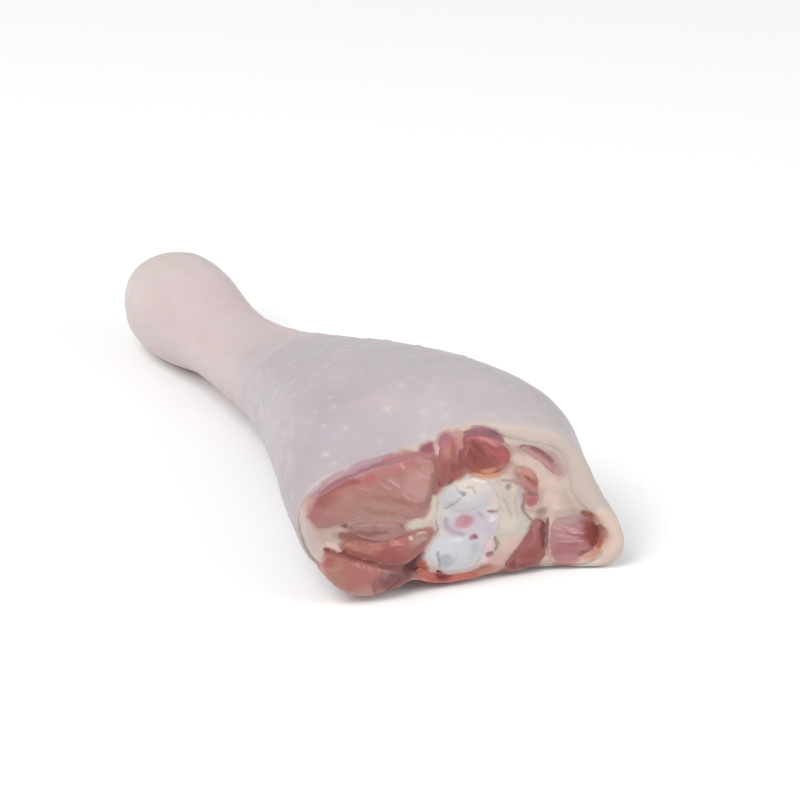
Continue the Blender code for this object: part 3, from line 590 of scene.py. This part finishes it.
FACE_FAT = [
    (line(4, (12, 34), (13.5, 28), (14, 20), (12.5, 12)), (216, 203, 192), 0.9),
    (line(3, (15, 41), (21, 38), (26, 30), (28, 22)), (226, 200, 188), 0.9, 0.1),
    (spot((12.6, 19.4), (2.4, 3.2), 20), (224, 212, 196), 0.9, 0.2),
    (spot((17.6, 17.4), (1.8, 2.4)), (204, 204, 190), 0.8),
    (spot((14.2, 11.6), (3.2, 2.4), 30), (222, 188, 178), 0.9, 0.1),
    (spot((12.9, 31.6), (1, 1)), (146, 142, 130), 0.85, -0.4),
    (line(0.7, (10.4, 34.2), (14.6, 33.6), (17.6, 31)), (180, 140, 130), 0.7, -0.2),
    (line(0.9, (15.8, 31.4), (16.9, 27.4), (17.2, 23), (19.2, 19.4)), (188, 176, 182), 0.8, 0.1),
    (line(0.5, (17.5, 28.6), (17.5, 24), (18.8, 21), (20.6, 18.8)), (160, 124, 116), 0.85, -0.3),
    (line(0.5, (11.2, 27.6), (12.8, 24.4), (13.6, 21)), (196, 182, 176), 0.7, -0.25),
    (line(0.5, (14.8, 29), (15.2, 25), (16, 21)), (198, 186, 184), 0.7, -0.25),
    (line(0.6, (8.8, 15.4), (9.4, 13), (8.8, 10.8)), (166, 140, 130), 0.8, -0.4),
    (spot((6.6, 12.4), (1.7, 1.8)), (224, 198, 202), 0.9, 0.4),
    (spot((7, 9.7), (1.1, 1.2), 20), (150, 98, 110), 0.9, -0.6),
    (spot((5.4, 8.2), (1.3, 1.3)), (230, 202, 202), 0.9, 0.4),
    (spot((10.2, 7.6), (3, 2.4)), (216, 176, 168), 0.8, 0.1),
    (spot((10.8, 37.2), (2.4, 1), -30), (206, 160, 140), 0.7),
    (line(1.2, (1, 37.2), (6, 36.7), (9.6, 36.5)), (220, 158, 124), 0.85),
    (spot((-3, 37.4), (2.4, 1.2)), (216, 200, 178), 0.8),
    (line(1, (-10.8, 33), (-10.6, 28), (-12.6, 24.6)), (222, 206, 192), 0.9, 0.2),
    (spot((-16.2, 24.2), (3.4, 1.6), 10), (214, 203, 188), 0.95, 0.2),
    (spot((-13, 48.6), (2.4, 2.2)), (156, 86, 98), 0.95),
    (spot((-14.6, 46.2), (3.4, 1.8)), (182, 122, 118), 0.95),
    (line(3.4, (-47.5, 40), (-43, 42.8), (-36, 45.4), (-28, 47), (-20, 48)), (176, 132, 140), 0.95),
    (line(1.2, (-46, 39.6), (-40, 43.4), (-30, 46.4), (-22, 47.4)), (160, 92, 98), 0.7),
    (line(0.6, (-9.6, 24.6), (-9.2, 22), (-10.2, 19.6)), (160, 138, 130), 0.7, -0.3),
    (line(1.6, (-37.6, 28), (-31, 27.9), (-25.6, 26.9), (-20, 26)), (190, 148, 138), 0.9, 0.1),
    # painted shade in the crease at the strip's left end, which also dips
    (spot((-38.4, 27.2), (1.2, 1), -40), (116, 62, 60), 0.9, -0.6),
    (spot((-43.6, 25), (6, 2.6), -4), (195, 170, 160), 0.95, 0.2),
    (spot((-40.2, 24.6), (1.8, 1)), (172, 142, 136), 0.7, -0.2),
    # painted shade in the crevices between the strip and the lobe and between the lobe and the tip; the
    # darkest lines also dip
    (line(2.2, (-39.2, 24.2), (-33, 22.4), (-28, 21.6), (-21, 22.2)), (148, 86, 80), 0.95, -0.2),
    (line(2.4, (-44, 20), (-40, 18.4), (-35, 15.4), (-31, 13.3), (-26, 11.6)), (158, 90, 80), 0.95),
    (line(0.8, (-44.6, 20.6), (-40, 19), (-35, 15.8), (-31, 13.9), (-27, 12.2)), (132, 58, 48), 0.95, -0.3),
    (line(2, (-27, 11.6), (-22, 10.2), (-19, 9.6)), (134, 68, 68), 0.95, -0.2),
    (line(0.9, (-43.8, 22.4), (-41.8, 20.8), (-39.6, 19.2)), (224, 196, 186), 0.95, 0.3),
    (line(1.2, (-46.6, 22.6), (-46.8, 18), (-46, 14)), (214, 186, 172), 0.8, 0.1),
    # painted shade: the shaded right part of the tip carried onto the fat, and the deep gap beside the bone
    # filled with dark paint instead of a hole, sunk a little
    (spot((-20.6, 6.8), (4.4, 3.4), 10), (136, 84, 86), 1),
    (spot((-17, 10.4), (3.6, 2.4), 62), (82, 8, 8), 1, -1.4),
    (spot((-15.2, 12.9), (1.6, 1.4)), (124, 64, 64), 0.85, -0.6),
    (spot((-14.2, 9.4), (1.6, 2)), (170, 90, 68), 0.95),
    (spot((-11.2, 7.6), (1.4, 1), 30), (206, 184, 178), 0.9, 0.2),
    (line(0.8, (-9.2, 7.8), (-8.9, 6.2), (-7.6, 5)), (140, 20, 16), 1, -0.6),
    (line(2.4, (-10.4, 47), (-10.5, 41), (-10.6, 34)), (166, 106, 98), 1, -0.1),
    (spot((-9.7, 47.6), (0.9, 1.4)), (220, 188, 188), 0.9, 0.1),
    (line(0.9, (-2.9, 51.6), (-2.7, 48), (-3, 45.4)), (204, 140, 138), 0.95, 0.1),
    (line(2.4, (-2.8, 46), (-3.2, 41.6), (-6, 36.8)), (148, 82, 78), 1),
    (line(2, (-5.6, 38), (-3.4, 38.6), (-1.4, 38.6)), (162, 90, 80), 0.9),
    (line(0.8, (25, 18.8), (25.2, 14), (25.1, 8.6)), (128, 56, 48), 0.9),
    (line(0.9, (26.5, 20.6), (26.4, 14), (26.5, 7)), (226, 192, 180), 0.95, 0.2),
    (spot((24, 5.2), (1.6, 1.6), 20), (214, 192, 178), 0.9, 0.2),
    (spot((23.4, 21.6), (1.8, 1.2), -10), (160, 134, 118), 0.9, -0.2),
    (line(0.4, (21, 22.6), (22.8, 23.9)), (226, 178, 170), 0.8, 0.2),
    (spot((30, 20), (5, 1.5)), (204, 178, 170), 0.8),
    # painted shade: the dark red pocket beside the flap muscle's right end, over the flesh's red
    (line(1.6, (36.6, 19), (39.4, 17), (42.2, 13.4), (43, 9.6)), (156, 70, 50), 0.9, -0.2),
    (spot((42.4, 10.6), (2, 3.8)), (126, 34, 20), 1, -0.5),
    (spot((41, 4.6), (2.6, 1.2), 30), (196, 136, 112), 0.85),
    (line(4, (51, 8), (49, 16), (44, 27), (39, 36)), (198, 188, 184), 0.9),
    (line(3.5, (39, 36), (36, 43), (29, 50), (20, 53.5), (12, 55)), (200, 190, 190), 0.9),
    (line(1.6, (-52, 38.6), (-44, 45.4), (-36, 48.4), (-26, 50.4)), (200, 188, 188), 0.9),
    (line(1.2, (-44.5, 43.2), (-37, 45.4), (-30, 47.4), (-23, 48.4)), (186, 152, 160), 0.9),
    (line(1.2, (-23, 49.4), (-19, 49), (-16.6, 50)), (208, 190, 182), 0.85),
    (line(2, (-26, 47.2), (-20, 47.4), (-16, 47.6)), (182, 124, 124), 0.9),
    (spot((-12.6, 49.4), (2.3, 1.7)), (158, 86, 98), 0.95),
    (spot((-10, 49.2), (0.9, 1.6)), (216, 180, 182), 0.9),
    (spot((-7.4, 51.8), (2.3, 1.8), 10), (174, 116, 130), 0.95),
    (spot((-3.8, 52.4), (1.4, 1.4)), (196, 150, 142), 0.9),
    (line(1.4, (-1.6, 52.6), (3.4, 52.6), (7.6, 50.8), (10.6, 47.8)), (156, 102, 114), 0.95),
    (line(1.5, (12, 48), (16, 46.6), (21, 45.6), (26, 42.2)), (220, 204, 190), 0.9),
    (line(3, (-52, 36), (-50.5, 26), (-48.4, 18), (-45.4, 11)), (200, 182, 178), 0.9),
    (line(2, (-27, 2), (-22, 2.4), (-16, 3.4)), (146, 88, 86), 0.95),
    (line(2, (-15, 3), (-7, 2.4), (2, 2)), (198, 104, 92), 0.95),
    (spot((-7.8, 4.4), (2, 1), -15), (144, 32, 26), 0.9),
    (line(2, (2, 2.2), (6, 2.2), (10, 2.4)), (196, 154, 140), 0.95),
    (line(2, (10, 2.4), (17, 2.6), (22, 2.8)), (146, 80, 80), 0.95),
    (line(2, (28, 2.4), (31, 2.4), (35, 3)), (190, 130, 130), 0.9),
    (line(3, (44.4, 4), (45.6, 8), (44.8, 13), (41.6, 19)), (231, 205, 192), 0.9),
    (line(1.6, (42, 5.8), (42.8, 9.6), (42, 13)), (172, 86, 62), 0.9),
    (line(1.6, (37, 3.6), (39.8, 3.4), (41.6, 5)), (202, 152, 128), 0.85),
]
# node: slot, base colour, direction of its grain, how far it reaches over the fat, marks
MUSCLES = {
    "gastrocnemius": ("pale_muscle", (182, 126, 120), -42.0, 1.2, GASTROCNEMIUS),
    "flexor_strip": ("red_muscle", (172, 126, 118), -12.0, 0.9, FLEXOR_STRIP),
    "flexor_lobe": ("red_muscle", (168, 98, 93), -20.0, 1.1, FLEXOR_LOBE),
    "flexor_tip": ("pale_muscle", (178, 116, 108), -25.0, 0.7, FLEXOR_TIP),
    "shin_small": ("red_muscle", (172, 100, 95), 75.0, 1.2, SHIN_SMALL),
    "shin_large": ("red_muscle", (160, 84, 81), -58.0, 1.0, SHIN_LARGE),
    "peroneal": ("pale_muscle", (190, 132, 124), -55.0, 0.8, PERONEAL),
    "thin_muscle": ("red_muscle", (190, 138, 140), -45.0, 0.7, THIN_MUSCLE),
    "deep_peroneal": ("red_muscle", (158, 92, 90), 62.0, 0.8, DEEP_PERONEAL),
    "flap_muscle": ("pale_muscle", (186, 134, 136), -18.0, 1.3, FLAP_MUSCLE),
    "underside_strip": ("red_muscle", (188, 98, 88), 0.0, 0.6, UNDERSIDE_STRIP),
}

# ---- The relief of the cut

MAP_STEP = 0.5  # a grid over the cut, in millimetres
MAP_ACROSS = np.arange(-60.0, 56.0, MAP_STEP)
MAP_HEIGHT = np.arange(-4.0, 66.0, MAP_STEP)


def tree_of(nodes):
    """A search tree of these solids' faces, in millimetres, and the node each face belongs to."""
    corners, faces, owners = [], [], []
    for node in nodes:
        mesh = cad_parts[node].data
        start = len(corners)
        corners += [vertex.co / MM for vertex in mesh.vertices]
        faces += [[start + index for index in face.vertices] for face in mesh.polygons]
        owners += [node] * len(mesh.polygons)
    return BVHTree.FromPolygons(corners, faces), owners


def face_map(nodes):
    """Over the grid: how far these solids reach before the cut's plane, or nan, and whose front it is."""
    tree, owners = tree_of(nodes)
    found = np.full((len(MAP_ACROSS), len(MAP_HEIGHT)), np.nan)
    whose = np.full(found.shape, "", dtype=object)
    for i, across in enumerate(MAP_ACROSS):
        plane = CUT_X + CUT_SLANT * across
        for k, height in enumerate(MAP_HEIGHT):
            hit, _, face, _ = tree.ray_cast((plane + 40.0, across + CUT_Y, height), (-1.0, 0.0, 0.0), 55.0)
            if hit is not None:
                found[i, k], whose[i, k] = hit.x - plane, owners[face]
    return found, whose


def blurred(values, sigma):
    """A grid blurred by a bell curve of this width in millimetres."""
    reach = int(3 * sigma / MAP_STEP)
    bell = np.exp(-0.5 * (np.arange(-reach, reach + 1) * MAP_STEP / sigma) ** 2)
    bell /= bell.sum()
    for axis in (0, 1):
        values = np.apply_along_axis(np.convolve, axis, values, bell, mode="same")
    return values


def at_map(grid, across, height):
    """Reads a grid at places between its points."""
    x = np.clip((across - MAP_ACROSS[0]) / MAP_STEP, 0, len(MAP_ACROSS) - 1.001)
    y = np.clip((height - MAP_HEIGHT[0]) / MAP_STEP, 0, len(MAP_HEIGHT) - 1.001)
    i, k = x.astype(int), y.astype(int)
    u, v = x - i, y - k
    low = grid[i, k] * (1 - u) + grid[i + 1, k] * u
    high = grid[i, k + 1] * (1 - u) + grid[i + 1, k + 1] * u
    return low * (1 - v) + high * v


def spread(found, sigma):
    """The map carried smoothly over its gaps, and how much of it lies nearby, from 0 to 1."""
    known = np.isfinite(found).astype(float)
    near = blurred(known, sigma)
    return blurred(np.where(known > 0, found, 0.0), sigma) / np.maximum(near, 1e-6), near


FAT_MIDDLE = (-4.75, 27.7)
RIM_TURNS = np.linspace(-math.pi, math.pi, 240, endpoint=False)
RIM_BLEND = 5.0  # over this distance the face rises to a rim that stands in front of it
RIM_BACK = 12.0  # the rim is looked for from here behind the plane
EDGE_DROP = 2.0  # where a muscle's front is this far behind most of it, the face has left its outline
FACE_DEPTH = 9.0  # what lies further behind the plane isn't part of the face
FLAT_SHARE = 0.75  # how far each muscle's front is flattened
FAT_LEVELS = (1.5, 5.0)  # the blur that carries the face over narrow and over wide gaps
OUTLINE_REACH = 6.0  # depths are worked out as far as this from an outline


def skin_rim():
    """In each direction from the cut's middle: the distance of the skin's inner wall, and the rim's along."""
    tree = tree_of(["skin"])[0]
    wall, rim = np.zeros(len(RIM_TURNS)), np.zeros(len(RIM_TURNS))
    for k, turn in enumerate(RIM_TURNS):
        away = Vector((0.0, math.cos(turn), math.sin(turn)))
        lean = CUT_SLANT * (FAT_MIDDLE[0] + 42.0 * math.cos(turn))
        found = []
        for along in np.arange(-RIM_BACK, 3.0, 0.5):
            start = Vector((CUT_X + lean + along, FAT_MIDDLE[0] + CUT_Y, FAT_MIDDLE[1]))
            hit, normal = tree.ray_cast(start, away, 80.0)[:2]
            if hit is not None and normal.dot(away) < 0.0:
                found.append((along, (hit - start).length))
        rim[k] = found[-1][0]
        wall[k] = found[max(len(found) - 3, 0)][1]
    bell = np.array([1.0, 4.0, 6.0, 4.0, 1.0]) / 16.0
    for _ in range(4):
        rim = sum(share * np.roll(rim, step - 2) for step, share in enumerate(bell))
        wall = sum(share * np.roll(wall, step - 2) for step, share in enumerate(bell))
    return wall, rim


WALL, RIM = skin_rim()


def polar(across, height):
    """The direction of a place from the middle of the cut, and its distance."""
    dy, dz = across - FAT_MIDDLE[0], height - FAT_MIDDLE[1]
    return np.arctan2(dz, dy), np.hypot(dy, dz)


def at_turn(values, turn):
    """Reads values kept by direction at directions between them."""
    return np.interp(turn, RIM_TURNS, values, period=2.0 * math.pi)


def cut_level():
    """Maps of the cut's face: its level before the plane, what solids cover of it, and each one's depths."""
    fronts, whose = face_map([*MUSCLES, "tibia"])
    for node in MUSCLES:
        mine = (whose == node) & (fronts > -FACE_DEPTH)
        own = fronts[mine]
        flat = np.percentile(own, 80)
        flattened = FLAT_SHARE * flat + (1.0 - FLAT_SHARE) * own
        fronts[mine] = np.where(own > flat - EDGE_DROP, flattened, np.nan)
    fronts[~(fronts > -FACE_DEPTH)] = np.nan
    cover = blurred(np.isfinite(fronts).astype(float), 0.6)
    fine, near = spread(fronts, FAT_LEVELS[0])
    broad = spread(fronts, FAT_LEVELS[1])[0]
    level = broad + ease(near, 0.05, 0.5) * (fine - broad)
    across, height = np.meshgrid(MAP_ACROSS, MAP_HEIGHT, indexing="ij")
    turn, away = polar(across, height)
    wall, rim = at_turn(WALL, turn), at_turn(RIM, turn)
    to_rim = ease(away, wall - RIM_BLEND, wall - 0.4)
    level += (1.0 - receding(level, rim)) * to_rim * (rim - level)
    depths = {node: depth_map((whose == node) & np.isfinite(fronts)) for node in [*MUSCLES, "tibia"]}
    return level, cover, depths


def depth_map(mine):
    """How deep each place of the grid lies inside the outline of the marked cells: negative outside it."""
    across, height = np.meshgrid(MAP_ACROSS, MAP_HEIGHT, indexing="ij")
    close = np.ones(mine.shape, bool)
    for value in (across, height):
        low, high = value[mine].min(), value[mine].max()
        close &= np.abs(value - (low + high) / 2) < (high - low) / 2 + OUTLINE_REACH
    beside = [np.roll(mine, step, axis) for axis, step in itertools.product((0, 1), (-1, 1))]
    edge = mine & ~np.all(beside, axis=0)
    away = np.full(mine.shape, OUTLINE_REACH)
    dy = across[close][:, None] - across[edge][None, :]
    dz = height[close][:, None] - height[edge][None, :]
    away[close] = np.sqrt((dy**2 + dz**2).min(axis=1))
    return blurred(np.where(mine, away + 0.5 * MAP_STEP, 0.5 * MAP_STEP - away), 0.5)


def receding(level, rim):
    """How far the skin's rim counts as lying behind the face, from 0 (level or in front) to 1."""
    return ease(level - rim, 0.6, 2.4)


LEVEL, COVER, DEPTHS = cut_level()

# ---- Fat

FAT_CREAM = tone(212, 193, 181)
NEAR_BONE = tone(218, 208, 205)
FAT_DIRECTIONS = 640
FAT_RINGS = 110
FAT_BACK = (-14.0, -30.0, -50.0, -75.0, -100.0, -118.0)  # where the fat's further sections lie along the leg
FAT_SUNK, FAT_DIP = 0.2, 2.5  # how far it stays behind the muscles' faces, and how far it dips under them
FAT_OVERHANG = (1.1, 0.8)  # beyond the skin's inner wall, at a proud rim and at a receding one
FAT_ROUNDING = (0.2, 1.3)  # how round its edge is at each
EDGE_BENDS = np.radians((18.0, 36.0, 54.0, 72.0, 90.0))
MUSCLE_BLUSH = (-2.4, -0.9)  # the fat takes a muscle's colour this close outside its outline
LUMP_SPACING, LUMP_REACH, LUMP_RISE = 4.2, 2.4, 0.3
CLEAR_OF_FLOOR = 0.2


def wall_radius(tree, along, turns, middle):
    """Distance from the middle of the section at along to the solid's outer wall, in each direction."""
    out = np.zeros(len(turns))
    for k, turn in enumerate(turns):
        away = Vector((0.0, math.cos(turn), math.sin(turn)))
        start = Vector((CUT_X + along, middle[0] + CUT_Y, middle[1])) + 80.0 * away
        hit = tree.ray_cast(start, -away, 80.0)[0]
        out[k] = 3.0 if hit is None else 80.0 - (hit - start).length
    return out


def underside(across):
    """The height of the flesh's lower edge: a notch beside the bone and a shallow one further on."""
    deep = 4.2 * np.exp(-(((across + 17.5) / 5.5) ** 2))
    shallow = 0.9 * np.exp(-(((across - 28.0) / 9.0) ** 2))
    return 1.9 + deep + shallow - 1.6 * ease(across, 37.0, 42.0)


def fat_mesh():
    """The fat as one closed mesh: a sheet over the cut's face, round its edge, then back inside the skin."""
    turns = np.linspace(-math.pi, math.pi, FAT_DIRECTIONS, endpoint=False)
    c, s = np.cos(turns), np.sin(turns)
    tree = tree_of(["fat"])[0]
    wall, rim = at_turn(WALL, turns), at_turn(RIM, turns)
    edge = at_map(LEVEL, FAT_MIDDLE[0] + (wall - 1.0) * c, FAT_MIDDLE[1] + (wall - 1.0) * s)
    behind = receding(edge, rim)
    overhang, rounding = ((proud + (back - proud) * behind) for proud, back in (FAT_OVERHANG, FAT_ROUNDING))
    outer = wall + overhang
    rings = []

    def ring(radius, along=None, drop=0.0):
        """Adds a ring of points: at along, or where that isn't given, this drop behind the face."""
        across, height = FAT_MIDDLE[0] + radius * c, FAT_MIDDLE[1] + radius * s
        lowest = underside(across) + drop
        squeezed = np.maximum(height, lowest + 0.25 * (height - lowest - 2.0) + 0.5)
        height = np.where(height < lowest + 2.0, squeezed, height)
        if along is None:
            under = ease(at_map(COVER, across, height), 0.6, 0.9)
            along = at_map(LEVEL, across, height) - FAT_SUNK - FAT_DIP * under - drop
        rings.append(np.stack([along + CUT_X + CUT_SLANT * across, across + CUT_Y, height], 1))

    for share in np.linspace(0.0, 1.0, FAT_RINGS + 1)[1:] ** 0.8:
        ring(share * (outer - rounding))
    for bend in EDGE_BENDS:
        ring(outer - rounding * (1.0 - math.sin(bend)), drop=rounding * (1.0 - math.cos(bend)))
    front = rings[-1][:, 0] - CUT_X - CUT_SLANT * (rings[-1][:, 1] - CUT_Y)
    back = np.minimum(rim - 2.5, front - 1.0)
    for share in (0.25, 0.5, 0.75, 1.0):
        ring(outer, front + share * (back - front))
    for along in FAT_BACK:
        middle = (FAT_MIDDLE[0] * (1 + along / 130.0), FAT_MIDDLE[1] * (1 + along / 500.0))
        radius = wall_radius(tree, along, turns, middle)
        across, height = middle[0] + radius * c, middle[1] + radius * s
        rings.append(np.stack([np.full(len(turns), along + CUT_X), across + CUT_Y, height], 1))
    across, height = (np.array([value]) for value in FAT_MIDDLE)
    first = at_map(LEVEL, across, height) - FAT_SUNK - FAT_DIP + CUT_X + CUT_SLANT * across
    points = np.concatenate([
        *rings, np.stack([first, across + CUT_Y, height], 1), rings[-1].mean(axis=0, keepdims=True)
    ])
    count, rows = FAT_DIRECTIONS, len(rings)
    k = np.arange(count)
    n = (k + 1) % count
    faces = []
    for row in range(rows - 1):
        a, b = row * count, (row + 1) * count
        faces += np.stack([a + k, b + k, b + n, a + n], 1).tolist()
    front, back, last = rows * count, rows * count + 1, (rows - 1) * count
    faces += [[front, a, b] for a, b in zip(k.tolist(), n.tolist())]
    faces += [[back, last + b, last + a] for a, b in zip(k.tolist(), n.tolist())]
    mesh = bpy.data.meshes.new("fat_fine")
    mesh.from_pydata((points * MM).tolist(), [], faces)
    mesh.validate()
    mesh.shade_smooth()
    return mesh


def depth_in(node, across, height, level=TRACED_AT):
    """How deep a place at this level lies inside a node's outline, as it looks from in front."""
    lean = TRACED_AT - level
    return at_map(DEPTHS[node], across - MARK_LEAN[0] * lean, height - MARK_LEAN[1] * lean)


def make_fat():
    """The fat: lumpy where it lies open, tinted by the muscles and the bone beside it."""
    piece = add_object("fat_fine", fat_mesh())
    points, normal = read(piece)
    across, height, along = cut_place(points)
    tint = np.tile(FAT_CREAM, (len(points), 1))
    tint = tint * (1.0 + 0.05 * rough(points, 4.0, 3, 8)[:, None])
    level = at_map(LEVEL, across, height)
    for node, (_, colour, *_) in MUSCLES.items():
        close = ease(depth_in(node, across, height, level), *MUSCLE_BLUSH)
        tint = mix(tint, tone(*colour), (0.85 - 0.4 * ease(across, 6.0, 12.0)) * close)
    tint = mix(tint, NEAR_BONE, 0.8 * ease(depth_in("tibia", across, height, level), -2.5, -0.3))
    tint, raised = lay(FACE_FAT, points, tint)
    lumps = dots(points, LUMP_SPACING, LUMP_REACH, 5)
    open_face = 1.0 - ease(at_map(COVER, across, height), 0.05, 0.4)
    face = ease(along, -13.0, -9.0)
    moved = (0.08 + 0.17 * open_face) * rough(points, 4.0, 3, 3) + LUMP_RISE * lumps * open_face
    points = points + normal * (moved * face)[:, None]
    points[:, 0] += raised * face * ease(normal @ FRONT, 0.0, 0.5)
    points[:, 2] = np.maximum(points[:, 2], CLEAR_OF_FLOOR)
    dress(piece, "fat", FAT, points, tint)


# ---- Muscles and bone

MUSCLE_VOXEL, BONE_VOXEL = 0.52, 0.55
WALL_SHARE = (0.45, 0.95)  # from a face to a wall, by how far the surface faces sideways
WALL_FRONT = (-8.0, -4.5)  # the walls' front part, from the face's level, is fitted to the outline
FACE_FRONT = (-9.0, -6.0)  # what faces forward within this of the level is brought to the face
MOST_MOVED = 2.5
BEHIND_GROWTH = 0.3  # further back the walls only swell by this
EDGE_SUNK, CROWN, CROWN_WIDTH = 0.6, 0.95, 1.8  # a muscle's edge lies back, and the muscle rises inside it
EDGE_CREAM = tone(208, 180, 168)
# painted highlight: the pale pink of the sheen streaks on wet muscle
SHEEN_PINK = tone(232, 205, 203)
BONE_WHITE = tone(214, 210, 212)
BONE_GROWTH = 0.8


def reach_outline(node, points, normal, growth):
    """Moves a piece's walls near the face sideways, so that they stand at its outline grown by growth."""
    across, height, along = cut_place(points)
    level = at_map(LEVEL, across, height)
    aside = normal - np.outer(normal @ FRONT, FRONT)
    share = np.linalg.norm(aside, axis=1)
    aside /= np.maximum(share, 1e-6)[:, None]
    short = growth + depth_in(node, across, height, level)
    near = ease(along - level, *WALL_FRONT)
    moved = near * np.clip(short, -MOST_MOVED, MOST_MOVED) + BEHIND_GROWTH * (1.0 - near)
    return points + aside * (ease(share, *WALL_SHARE) * moved)[:, None]


def lift_to_face(points, facing, level, bulge):
    """How far each point moves forward to lie on the face, and how much it counts as part of it."""
    along = cut_place(points)[2]
    front = ease(facing, -0.15, 0.15) * ease(along - level, *FACE_FRONT)
    return front * (level + bulge - along), front


def make_muscle(node, slot, colour, direction, growth, marks, seed):
    """One muscle: its grain runs in direction on the cut, and it reaches growth over the fat."""
    piece = dense_copy(node, MUSCLE_VOXEL, 2)
    points, normal = read(piece)
    flat = points * np.array((0.3, 1.0, 1.0))
    points = reach_outline(node, points, normal, growth + 0.2 * rough(flat, 4.5, 2, seed))
    across, height = cut_place(points)[:2]
    level, facing = at_map(LEVEL, across, height), normal @ FRONT
    depth = depth_in(node, across, height, level) + growth
    bulge = CROWN * ease(depth, 0.0, CROWN_WIDTH) - EDGE_SUNK
    lifted, front = lift_to_face(points, facing, level, bulge)
    points[:, 0] += lifted

    grain = fibres(points, direction, 0.7, 7.0, seed)
    cloud = rough(points, (9.0, 7.0, 5.0), 3, seed + 3)
    tint = np.tile(tone(*colour), (len(points), 1))
    tint, raised = lay(marks, points, tint)
    tint = tint * (1.0 + (0.07 * grain + 0.08 * cloud)[:, None] * GRAIN_TINT)
    patchy = ease(noise(points, (9.0, 5.0, 4.0), seed + 12), -0.1, 0.5)
    sheen_wisps = patchy * ease(fibres(points, direction, 0.45, 3.6, seed + 9), 0.35, 0.85)
    shaded_folds = ease(fibres(points, direction, 0.8, 8.0, seed + 10), 0.35, 0.9)
    # painted highlight: pale sheen streaks along the grain, where the surface also rises a little
    tint = mix(tint, SHEEN_PINK, 0.125 * sheen_wisps)
    # painted shade: the muscle darkens in the folds of its grain, where the surface also dips
    tint = tint * (1.0 - 0.16 * shaded_folds[:, None] * GRAIN_TINT)
    tint = mix(tint, EDGE_CREAM, 0.3 * front * (1.0 - ease(depth, 0.0, 1.2)))
    points[:, 0] += raised * front * ease(facing, 0.0, 0.4)
    moved = 0.08 * grain + 0.10 * sheen_wisps - 0.12 * shaded_folds + 0.16 * rough(points, 5.0, 3, seed + 6)
    points = points + normal * moved[:, None]
    points[:, 2] = np.maximum(points[:, 2], 0.0)
    dress(piece, node, MEAT, points, tint)


def make_tibia():
    """The bone: two smooth wet condyles whose edges blend into the face."""
    piece = dense_copy("tibia", BONE_VOXEL, 8)
    points, normal = read(piece)
    tint = np.tile(BONE_WHITE, (len(points), 1))
    tint = tint * (1.0 + 0.03 * rough(points, 5.0, 3, 3)[:, None])
    tint, raised = lay(KNEE, points, tint)
    face = ease(cut_place(points)[2], -12.0, -8.0)
    growth = BONE_GROWTH + 0.4 * rough(points * np.array((0.3, 1.0, 1.0)), 5.0, 3, 9)
    points = reach_outline("tibia", points, normal, growth)
    across, height = cut_place(points)[:2]
    level, facing = at_map(LEVEL, across, height), normal @ FRONT
    depth = depth_in("tibia", across, height, level) + BONE_GROWTH
    lifted, front = lift_to_face(points, facing, level, 0.6 * ease(depth, 0.0, 1.2) - 0.5)
    points[:, 0] += lifted * (1.0 - ease(depth, 0.8, 3.2))
    tint = mix(tint, NEAR_BONE, 0.7 * front * (1.0 - ease(depth, 0.2, 2.4)))
    points[:, 0] += raised * face * ease(facing, 0.0, 0.4)
    moved = (0.3 * rough(points, 6.0, 2, 4) + 0.08 * rough(points, 1.5, 2, 5)) * face
    points = points + normal * moved[:, None]
    dress(piece, "tibia", CARTILAGE, points, tint)


make_skin()
make_fat()
make_tibia()
for number, name in enumerate(MUSCLES):
    make_muscle(name, *MUSCLES[name], 2 + 3 * number)

# ---- Floor, light and camera


def plain_material(name, colour, roughness):
    """A surface in one colour."""
    made = bpy.data.materials.new(name)
    made.use_nodes = True
    shader = made.node_tree.nodes["Principled BSDF"]
    shader.inputs["Base Color"].default_value = (*colour, 1.0)
    shader.inputs["Roughness"].default_value = roughness
    return made


def make_floor():
    """A pale plain floor, kept out of the part."""
    bpy.ops.mesh.primitive_plane_add(size=8.0, location=(0.0, 0.0, 0.0))
    floor = bpy.context.object
    floor.name = "floor"
    floor.data.materials.append(plain_material("floor", (0.92, 0.92, 0.92), 0.9))


def make_light(name, location, aim, size, power):
    """A square soft light, size metres wide, turned towards aim."""
    light = bpy.data.lights.new(name, "AREA")
    light.size = size
    light.energy = power
    lamp = add_object(name, light)
    lamp.location = location
    direction = np.array(aim) - np.array(location)
    lamp.rotation_euler = Vector(direction).to_track_quat("-Z", "Y").to_euler()


def make_camera():
    """A long lens, aimed down the leg from in front and above, placed from the cut's own origin."""
    data = bpy.data.cameras.new("camera")
    data.lens = 151.47
    data.sensor_width = 36.0
    data.clip_end = 50.0
    camera = add_object("camera", data)
    camera.location = (CUT_X * MM + 0.7671, CUT_Y * MM - 0.4666, 0.5008)
    camera.rotation_euler = (math.radians(64.0), 0.0, math.radians(60.0))
    bpy.context.scene.camera = camera


def make_world():
    """White light from all round and a plain view transform, so that paint shows in its own colours."""
    world = bpy.data.worlds.new("studio")
    world.use_nodes = True
    back = world.node_tree.nodes["Background"]
    back.inputs["Color"].default_value = (1.0, 1.0, 1.0, 1.0)
    back.inputs["Strength"].default_value = 0.62
    bpy.context.scene.world = world
    bpy.context.scene.view_settings.view_transform = "Standard"


make_floor()
make_light("key", (0.3, -0.9, 1.2), (0.0, 0.0, 0.03), 0.9, 16.0)
make_light("fill", (1.2, 0.9, 0.9), (0.05, 0.0, 0.03), 0.8, 8.0)
make_world()
make_camera()
